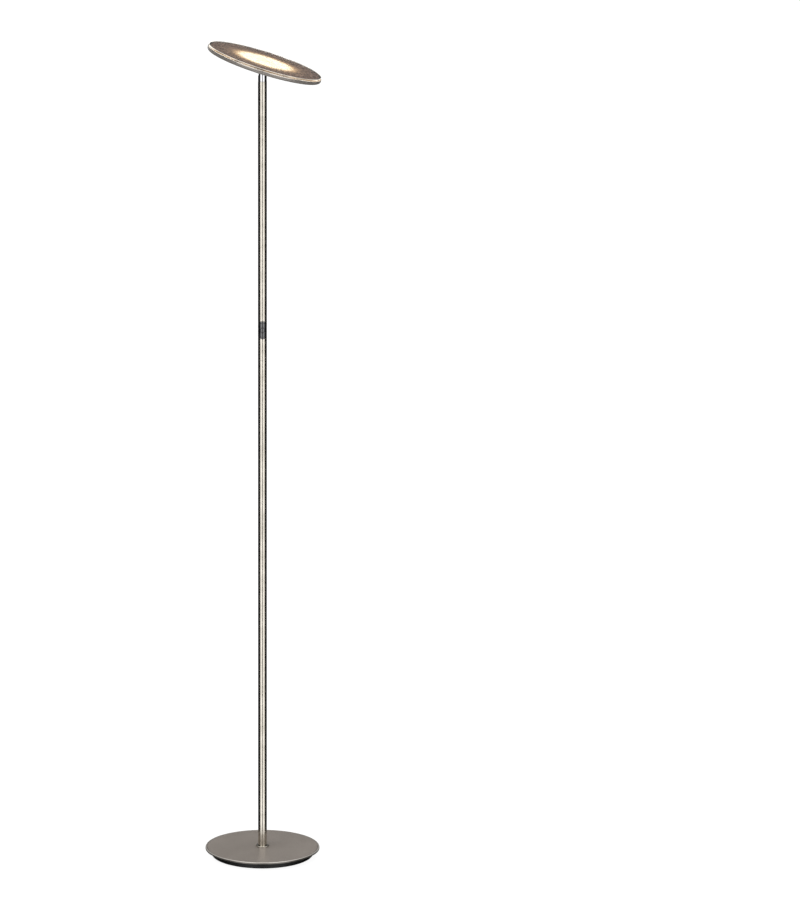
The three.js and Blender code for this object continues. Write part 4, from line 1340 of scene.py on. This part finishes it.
@dataclass(frozen=True)
class Hinge:
    """Polished neck with two ears, its pivot screw and nut, and the friction washers."""

    head: HeadFrame
    spigot: float = 8.1 * MM
    spigot_length: float = 25.0 * MM
    seat_depth: float = 1.1 * MM
    seat_radius: float = 4.6 * MM
    seat_edge: float = 0.25 * MM
    edge: float = 0.35 * MM
    shank: float = 2.5 * MM
    socket: float = 2.0 * MM
    bore: float = 2.8 * MM
    nut_chamfer: float = 0.45 * MM
    washer_edge: float = 0.15 * MM

    def neck(self) -> list[Array]:
        """Round neck cut by a slot, with ears rounded about the pivot.

        The ears' outline at x ends at z = pivot + sqrt(e^2 - x^2). The outside is the cylinder
        y = sqrt(R^2 - x^2), pressed flat to the seat's depth within its radius of the pivot.

        Returns:
            The lower wall, the slot's floor, and the outside, top and inside of each ear.
        """
        size, pivot = upright("neck"), self.head.pivot[2]
        radius, ear = size.radius, size.high - pivot
        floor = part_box("upper_lead")[1].z + FIT
        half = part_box("friction_washer_back")[1].y + FIT
        joint = upright("upper_pole").high + FIT
        reach = math.sqrt(radius**2 - half**2)
        across = reach * np.sin(np.linspace(-math.pi / 2, math.pi / 2, 97))
        slot = np.linspace(-half, half, 25)
        arc = np.sqrt(radius**2 - across**2)
        side = np.sqrt(radius**2 - slot**2)
        ring = np.vstack(
            [
                np.stack([side, slot], axis=-1),
                np.stack([across[::-1], arc[::-1]], axis=-1),
                np.stack([-side[::-1], slot[::-1]], axis=-1),
                np.stack([across, -arc], axis=-1),
            ]
        )
        ring = np.vstack([ring, ring[:1]])
        levels = [
            (0.0, joint - self.spigot_length),
            (self.spigot / radius, joint - self.spigot_length),
            (self.spigot / radius, joint),
            (1 - self.edge / radius, joint),
            (1.0, joint + self.edge),
            (1.0, floor),
        ]
        wall = np.array([np.column_stack([ring * share, np.full(len(ring), z)]) for share, z in levels])
        grids = [wall]
        share = across / reach
        grids.append(
            np.stack(
                [side[:, None] * share, np.repeat(slot[:, None], 97, 1), np.full((25, 97), floor)],
                axis=-1,
            )
        )
        top = pivot + np.sqrt(ear**2 - across**2)
        rise = np.linspace(0, 1, 121)[:, None]
        up = floor + rise * (top - floor)
        spread = np.broadcast_to(across, up.shape)
        near = np.sqrt(across**2 + (up - pivot) ** 2)
        pressed = np.clip((self.seat_radius - near) / self.seat_edge, 0, 1)
        curved = np.broadcast_to(arc, up.shape)
        deep = curved - pressed * np.maximum(curved - (radius - self.seat_depth), 0)
        for sign in (-1, 1):
            outside = np.stack([spread, sign * deep, up], axis=-1)
            inside = np.stack([spread, np.full_like(up, sign * half), up], axis=-1)
            grids += [outside, inside, between(outside[-1], inside[-1], 3)]
        return grids

    def screw(self) -> list[Array]:
        """Hexagon-socket screw along +Y, its head at the front and its end in the nut."""
        low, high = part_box("pivot_screw")
        radius, nut = (high.x - low.x) / 2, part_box("pivot_nut")
        seat = -nut[0].y
        length = high.y - seat
        grid = driven_head(radius, seat - low.y, self.shank, length, Recess.HEX, self.socket)
        return placed([grid], lying(self.head.pivot[2], seat, math.pi / 2))

    def nut(self) -> list[Array]:
        """Hexagon nut with chamfered corners: r(t) is the smaller of the hexagon and a circle."""
        low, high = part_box("pivot_nut")
        corners = extent("pivot_nut", self.head.pivot, np.array([0.0, 1.0, 0.0])).radius
        flats = corners * math.cos(math.pi / 6)
        angle = np.linspace(0, 2 * math.pi, 97)
        hexagon = flats / np.cos(np.mod(angle, math.pi / 3) - math.pi / 6)
        bore, chamfer = np.full_like(angle, self.bore), self.nut_chamfer
        worn = np.minimum(hexagon, flats)
        rings = np.array([bore, worn, hexagon, hexagon, worn, bore, bore])
        heights = np.array([low.y, low.y, low.y + chamfer, high.y - chamfer, high.y, high.y, low.y])
        return placed([ringed(rings, heights, angle)], lying(self.head.pivot[2]))

    def washer(self, node: str) -> list[Array]:
        """Flat ring about the pivot's axis."""
        low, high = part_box(node)
        outer, edge = (high.z - low.z) / 2, self.washer_edge
        profile = strip(self.bore, outer, low.y, high.y, edge, edge, 3)
        return placed([turned(profile, 96)], lying(self.head.pivot[2]))

    def build(self, shop: Workshop) -> None:
        """Builds and dresses the hinge's pieces."""
        stand, steel = Body.STAND, Slot.ZINC_STEEL
        shop.show("polished_neck", self.neck(), stand, Slot.POLISHED_NECK, ["neck"])
        shop.show("hinge_screw", self.screw(), stand, steel, ["pivot_screw"])
        shop.show("hinge_nut", self.nut(), stand, steel, ["pivot_nut"])
        for side in ("front", "back"):
            node = f"friction_washer_{side}"
            shop.show(f"{side}_washer", self.washer(node), stand, Slot.BRASS, [node])


@dataclass(frozen=True)
class Head:
    """Shallow casing, clear plate over a glowing film, gasket, and the bracket it hangs on."""

    frame: HeadFrame
    wall: float = 1.2 * MM
    rounding: float = 5.0 * MM
    lip_inset: float = 0.4 * MM
    bevel: float = 0.8 * MM
    gasket_width: float = 3.5 * MM
    slot_low: float = -6.6 * MM
    slot_high: float = 10.5 * MM
    slot_half: float = 3.4 * MM
    hub: float = 20.0 * MM
    lip_height: float = 0.9 * MM
    tongue_half_width: float = 6.0 * MM
    tongue_half_thickness: float = 2.8 * MM
    bracket_plate: float = 1.6 * MM
    bracket_edge: float = 0.3 * MM
    screw_shank: float = 1.5 * MM
    screw_cross: float = 1.7 * MM
    places: int = 288

    @property
    def lip(self) -> float:
        """Height above the pivot at which the lip's painted highlight begins."""
        return self.frame.extent("head_casing").high - self.lip_height

    def casing(self) -> list[Array]:
        """Turned shell whose floor has a slot for the bracket's tongue.

        The slot's outline about the axis is r(t) = min(x/cos t, y/|sin t|), with x its reach on
        that side, and the rings go from it out to the rounded side and back inside.

        Returns:
            One grid.
        """
        size = self.frame.extent("head_casing")
        outer, lean = size.radius - SHAVING, self.lip_inset
        corners = [
            (self.hub, size.low, 0.0),
            (outer + lean, size.low, self.rounding),
            (outer - lean, size.high, 0.25 * MM),
            (outer - lean - self.wall, size.high, 0.2 * MM),
            (outer - self.wall, size.low + self.wall, self.rounding - self.wall),
            (self.hub, size.low + self.wall, 0.0),
        ]
        profile = filleted(corners, 10)[1:-2]
        angle = np.linspace(0, 2 * math.pi, self.places + 1)
        cosine, sine = np.cos(angle), np.maximum(np.abs(np.sin(angle)), TINY)
        reach = np.where(cosine > 0, self.slot_high, -self.slot_low)
        slot = np.minimum(reach / np.maximum(np.abs(cosine), TINY), self.slot_half / sine)
        rings = [slot, *(np.full_like(angle, ring) for ring in profile[:, 0]), slot, slot]
        heights = [size.low, *profile[:, 1], size.low + self.wall, size.low]
        return [ringed(np.array(rings), np.array(heights), angle)]

    def plate(self) -> list[Array]:
        """Clear disc with a polished bevel round its top."""
        size = self.frame.extent("clear_plate")
        fine = 0.12 * MM
        corners = [
            (0.0, size.low, 0.0),
            (size.radius, size.low, 0.25 * MM),
            (size.radius, size.high - self.bevel, fine),
            (size.radius - self.bevel, size.high, fine),
            (0.0, size.high, 0.0),
        ]
        return [turned(filleted(corners, 5), self.places)]

    def disc(self, node: str, hole: float = 0.0, edge: float = 0.2 * MM) -> list[Array]:
        """Plain disc or ring of a node's size with softened edges."""
        size = self.frame.extent(node)
        inner = edge if hole else 0.0
        return [turned(strip(hole, size.radius, size.low, size.high, edge, inner, 4), self.places)]

    def bracket(self) -> list[Array]:
        """Tongue that hangs on the pivot, and the round plate it stands on in the casing.

        The tongue's outline is a half circle about the pivot with straight sides, carried
        along Y between softened edges.

        Returns:
            The tongue's grid and the plate's.
        """
        size = self.frame.extent("hinge_bracket")
        half, thick = self.tongue_half_width, self.tongue_half_thickness
        soft, plate_low = self.bracket_edge, size.high - self.bracket_plate

        def outline(inset: float, depth: float) -> Array:
            """Tongue's outline inset by a distance, on the plane y = depth."""
            angle = np.linspace(math.pi, 2 * math.pi, 49)
            bow = (half - inset) * np.stack([np.cos(angle), np.sin(angle)], axis=-1)
            sides = np.array([[half - inset, plate_low + soft], [inset - half, plate_low + soft]])
            path = np.vstack([bow, sides, bow[:1]])
            return np.stack([path[:, 0], np.full(len(path), depth), path[:, 1]], axis=-1)

        rows = [(soft, -thick), (0.0, soft - thick), (0.0, thick - soft), (soft, thick)]
        rings = [outline(*row) for row in rows]
        hub = np.array([0, 0, half / 2])
        ends = [np.ones_like(rings[0]) * (hub + [0, depth, 0]) for depth in (-thick, thick)]
        tongue = stacked(ends[0], *rings, ends[1])
        return [tongue, turned(strip(0.0, size.radius, plate_low, size.high, soft, 0.0, 4), 96)]

    def bracket_screw(self, node: str) -> list[Array]:
        """Cross-head screw pointing up through the casing's floor."""
        size = self.frame.extent(node)
        away = (points_of(node) - self.frame.pivot)[:, 1]
        offset = float(away.max() + away.min()) / 2
        seat = self.frame.extent("head_casing").low - FIT
        radius = float(away.max() - away.min()) / 2
        head, length = seat - size.low, size.high - seat
        grid = driven_head(radius, head, self.screw_shank, length, Recess.CROSS, self.screw_cross)
        hanging = Matrix.Translation((0, offset, seat)) @ Matrix.Rotation(math.pi, 4, "X")
        return placed([grid], hanging)

    def build(self, shop: Workshop) -> None:
        """Builds and dresses the head's pieces."""
        ring = self.frame.extent("plate_gasket").radius - self.gasket_width
        film = self.disc("diffuser_film", edge=0.1 * MM)
        gasket = self.disc("plate_gasket", ring, 0.3 * MM)
        pieces = [
            ("round_casing", self.casing(), Slot.HEAD_PAINT, "head_casing"),
            ("top_plate", self.plate(), Slot.CLEAR_ACRYLIC, "clear_plate"),
            ("glow_film", film, Slot.BROWN_FILM, "diffuser_film"),
            ("edge_gasket", gasket, Slot.BLACK_RUBBER, "plate_gasket"),
            ("hinge_tongue", self.bracket(), Slot.ZINC_STEEL, "hinge_bracket"),
        ]
        for side in ("front", "back"):
            node = f"bracket_screw_{side}"
            pieces.append((f"{side}_screw", self.bracket_screw(node), Slot.ZINC_STEEL, node))
        home = self.frame.matrix()
        for name, grids, slot, node in pieces:
            shop.show(name, placed(grids, home), Body.HEAD, slot, [node])


# ---------------------------------------------------------------- studio


@dataclass(frozen=True)
class Studio:
    """Pale floor, tall soft lights beside the camera, a dim screen behind, and the camera."""

    floor_half: float = 70.0
    floor_drop: float = 0.2 * MM
    floor_tone: float = 0.9
    floor_glow: float = 1.15
    glow_share: float = 0.8
    focal: float = 6103.2
    image: tuple[int, int] = (800, 907)
    distance: float = 12.934
    height: float = 3.9533
    pitch: float = math.radians(13.2329)
    yaw: float = math.radians(1.3264)
    azimuth: float = math.radians(1.4)
    roll: float = math.radians(0.2985)
    front: float = 1.45
    behind: float = 0.9
    gloom: float = 0.022
    overhead: float = 0.9
    ambient: float = 0.92
    key_size: float = 2.5
    key_power: float = 55.0
    key_place: tuple[float, float, float] = (-2.2, -3.0, 4.2)
    key_aim: tuple[float, float, float] = (0.0, 0.0, 0.9)

    def floor(self) -> None:
        """Lays a large pale floor just under the lamp, unseen from below and by glossy light."""
        side = np.linspace(-self.floor_half, self.floor_half, 9)
        across, along = np.meshgrid(side, side)
        grid = np.stack([across, along, np.full_like(across, -self.floor_drop)], axis=-1)
        points, squares, _ = welded([grid])
        mesh = bpy.data.meshes.new("floor")
        mesh.from_pydata(points.tolist(), [], squares.tolist())
        mesh.materials.append(self.floor_finish())
        ground = bpy.data.objects.new("floor", mesh)
        bpy.context.scene.collection.objects.link(ground)
        ground.visible_glossy = False

    def floor_finish(self) -> bpy.types.Material:
        """Pale floor that glows a little, and can be seen through from below.

        Returns:
            The floor's material.
        """
        made = bpy.data.materials.new("floor")
        made.use_nodes = True
        bench = Bench(made.node_tree)
        tone = (self.floor_tone,) * 3 + (1.0,)
        cloth = bench.node("ShaderNodeBsdfDiffuse", inputs={"Color": tone})
        glow = bench.node("ShaderNodeEmission", inputs={"Color": WHITE, "Strength": self.floor_glow})
        lit = bench.node("ShaderNodeMixShader", inputs={0: self.glow_share, 1: cloth, 2: glow})
        under = bench.node("ShaderNodeNewGeometry", output="Backfacing")
        inputs = {0: under, 1: lit, 2: bench.node("ShaderNodeBsdfTransparent")}
        bench.ending("ShaderNodeOutputMaterial", bench.node("ShaderNodeMixShader", inputs=inputs))
        return made

    def world(self) -> None:
        """Wires the light all round: white to the eye, even to matt surfaces, panels to gloss.

        With a the angle round the lamp from the camera's side, the front panels fill 11 to 55
        degrees each way and fade out well above the head. A dim screen hangs behind the lamp,
        above the floor, for flat tops to mirror, and a soft ceiling lies over it all.
        """
        world = bpy.data.worlds.new("studio")
        world.use_nodes = True
        world.cycles.sampling_method = "NONE"
        bpy.context.scene.world = world
        bench = Bench(world.node_tree)
        across, along, up = bench.parts(bench.node("ShaderNodeTexCoord", output="Generated"))
        turn = across.maths("ARCTAN2", along * -1).maths("ABSOLUTE") * (180 / math.pi)
        panels = turn.rise(8.0, 11.0) * (1 - turn.rise(53.0, 58.0)) * self.front
        horizon = up.rise(-0.14, -0.06) * (1 - up.rise(0.05, 0.12))
        screen = turn.rise(110.0, 140.0) * (horizon + up.rise(0.08, 0.18) * 0.12) * self.behind
        fade = 1 - up.rise(0.75, 0.95)
        ceiling = up.rise(0.55, 0.85) * self.overhead
        studio = (panels + screen) * fade + ceiling + self.gloom
        seen = bench.node("ShaderNodeLightPath", output="Is Camera Ray")
        matt = bench.node("ShaderNodeLightPath", output="Is Diffuse Ray")
        level = studio * (1 - matt) + matt * self.ambient
        level = level * (1 - seen) + seen
        light = bench.node("ShaderNodeBackground", inputs={"Color": WHITE, "Strength": level})
        bench.ending("ShaderNodeOutputWorld", light)

    def key_light(self) -> None:
        """Hangs one large soft light high at the front left."""
        data = bpy.data.lights.new("key", "AREA")
        data.shape, data.size, data.energy = "DISK", self.key_size, self.key_power
        data.color = (1.0, 0.97, 0.93)
        lamp = bpy.data.objects.new("key", data)
        lamp.location = self.key_place
        aim = Vector(self.key_aim) - lamp.location
        lamp.rotation_euler = aim.to_track_quat("-Z", "Y").to_euler()
        lamp.visible_glossy = False
        bpy.context.scene.collection.objects.link(lamp)

    def camera(self) -> None:
        """Sets the camera: forward is +Y turned by the heading, dropped by the pitch, and rolled."""
        data = bpy.data.cameras.new("camera")
        data.sensor_width = 36.0
        data.lens = self.focal * data.sensor_width / max(self.image)
        data.clip_end = 400.0
        eye = bpy.data.objects.new("camera", data)
        heading, level = self.yaw + self.azimuth, math.cos(self.pitch)
        ahead = [math.sin(heading) * level, math.cos(heading) * level, -math.sin(self.pitch)]
        forward, right = np.array(ahead), np.array([math.cos(heading), -math.sin(heading), 0.0])
        aside, away = math.sin(self.azimuth), math.cos(self.azimuth)
        place = [-self.distance * aside, -self.distance * away, self.height]
        over = np.cross(right, forward)
        rolled = math.cos(self.roll) * right + math.sin(self.roll) * over
        raised = -math.sin(self.roll) * right + math.cos(self.roll) * over
        pose = np.eye(4)
        pose[:3] = np.column_stack([rolled, raised, -forward, place])
        eye.matrix_world = Matrix(pose.tolist())
        bpy.context.scene.collection.objects.link(eye)
        bpy.context.scene.camera = eye

    def build(self) -> None:
        """Builds the whole studio."""
        self.camera()
        self.floor()
        self.world()
        self.key_light()
        bpy.context.scene.view_settings.view_transform = "Standard"
        LOG.info("studio ready")


def finishes(head: HeadFrame, base: Base, lip: float) -> dict[Slot, Finish]:
    """The finish of every slot in the record.

    Args:
        head: The head's frame, which the head's patterns are centred on.
        base: The base, whose rim gets a painted highlight and a more metallic finish.
        lip: Height above the pivot of the casing's lip, where a highlight is painted.

    Returns:
        One finish for each slot.
    """
    home, board, plate = head.matrix(), head.extent("led_board"), head.extent("clear_plate")
    return {
        Slot.FOAM_PAD: Moulded(tint(26, 26, 27), tint(46, 46, 47), 0.9, grain=900.0, depth=0.1 * MM),
        Slot.BLACK_TRAY: Moulded(tint(12, 12, 12), tint(24, 24, 23), 0.42, gloss=0.25),
        Slot.CAST_WEIGHT: Moulded(tint(58, 57, 57), tint(88, 84, 80), 0.75, 700.0, 0.12 * MM, 0.7),
        Slot.BASE_PAINT: CoverPaint(base.rim, base.rim + base.crease_inset),
        Slot.BLACK_RUBBER: Moulded(tint(18, 18, 18), tint(32, 31, 30), 0.7),
        Slot.SATIN_NICKEL: Metal(tint(190, 184, 172), tint(222, 216, 205), 0.2, drawn=0.05),
        Slot.ZINC_STEEL: Metal(tint(140, 142, 146), tint(178, 180, 183), 0.34, cloud=120.0),
        Slot.BRASS: Metal(tint(170, 132, 66), tint(206, 170, 98), 0.3),
        Slot.LEAD_JACKET: Moulded(tint(24, 24, 25), tint(40, 40, 41), 0.55),
        Slot.GLOSS_BLACK: Lacquer(),
        Slot.CIRCUIT_BOARD: CircuitBoard(),
        Slot.SWITCH_PLASTIC: Moulded(tint(24, 24, 26), tint(44, 44, 46), 0.5),
        Slot.POLISHED_NECK: Metal(tint(214, 214, 216), tint(228, 228, 229), 0.07, 0.03, depth=MM / 1000),
        Slot.HEAD_PAINT: SandPaint(home, lip),
        Slot.SPREADER_METAL: Metal(tint(188, 190, 193), tint(214, 216, 218), 0.36, 0.14),
        Slot.LED_BOARD: LightBoard(home, board.high - 0.7 * MM),
        Slot.WHITE_FRAME: Moulded(tint(226, 224, 218), tint(238, 236, 231), 0.5),
        Slot.BROWN_FILM: GlowFilm(home, ((33 * MM, 12), (48 * MM, 18))),
        Slot.CLEAR_ACRYLIC: ClearSheet(home, plate.radius, plate.low, plate.high),
    }


def main() -> None:
    """Builds the studio and then each sub-assembly, from the floor up."""
    logging.basicConfig(level=logging.INFO, format="%(name)s: %(message)s", stream=sys.stdout)
    head_frame, base = HeadFrame.read(), Base()
    head = Head(head_frame)
    shop = Workshop(finishes(head_frame, base, head.lip))
    Studio().build()
    shop.dress_frame()
    for assembly in (base, Pole(), ControlPanel(), Hinge(head_frame), head):
        assembly.build(shop)


if __name__ == "__main__":
    main()
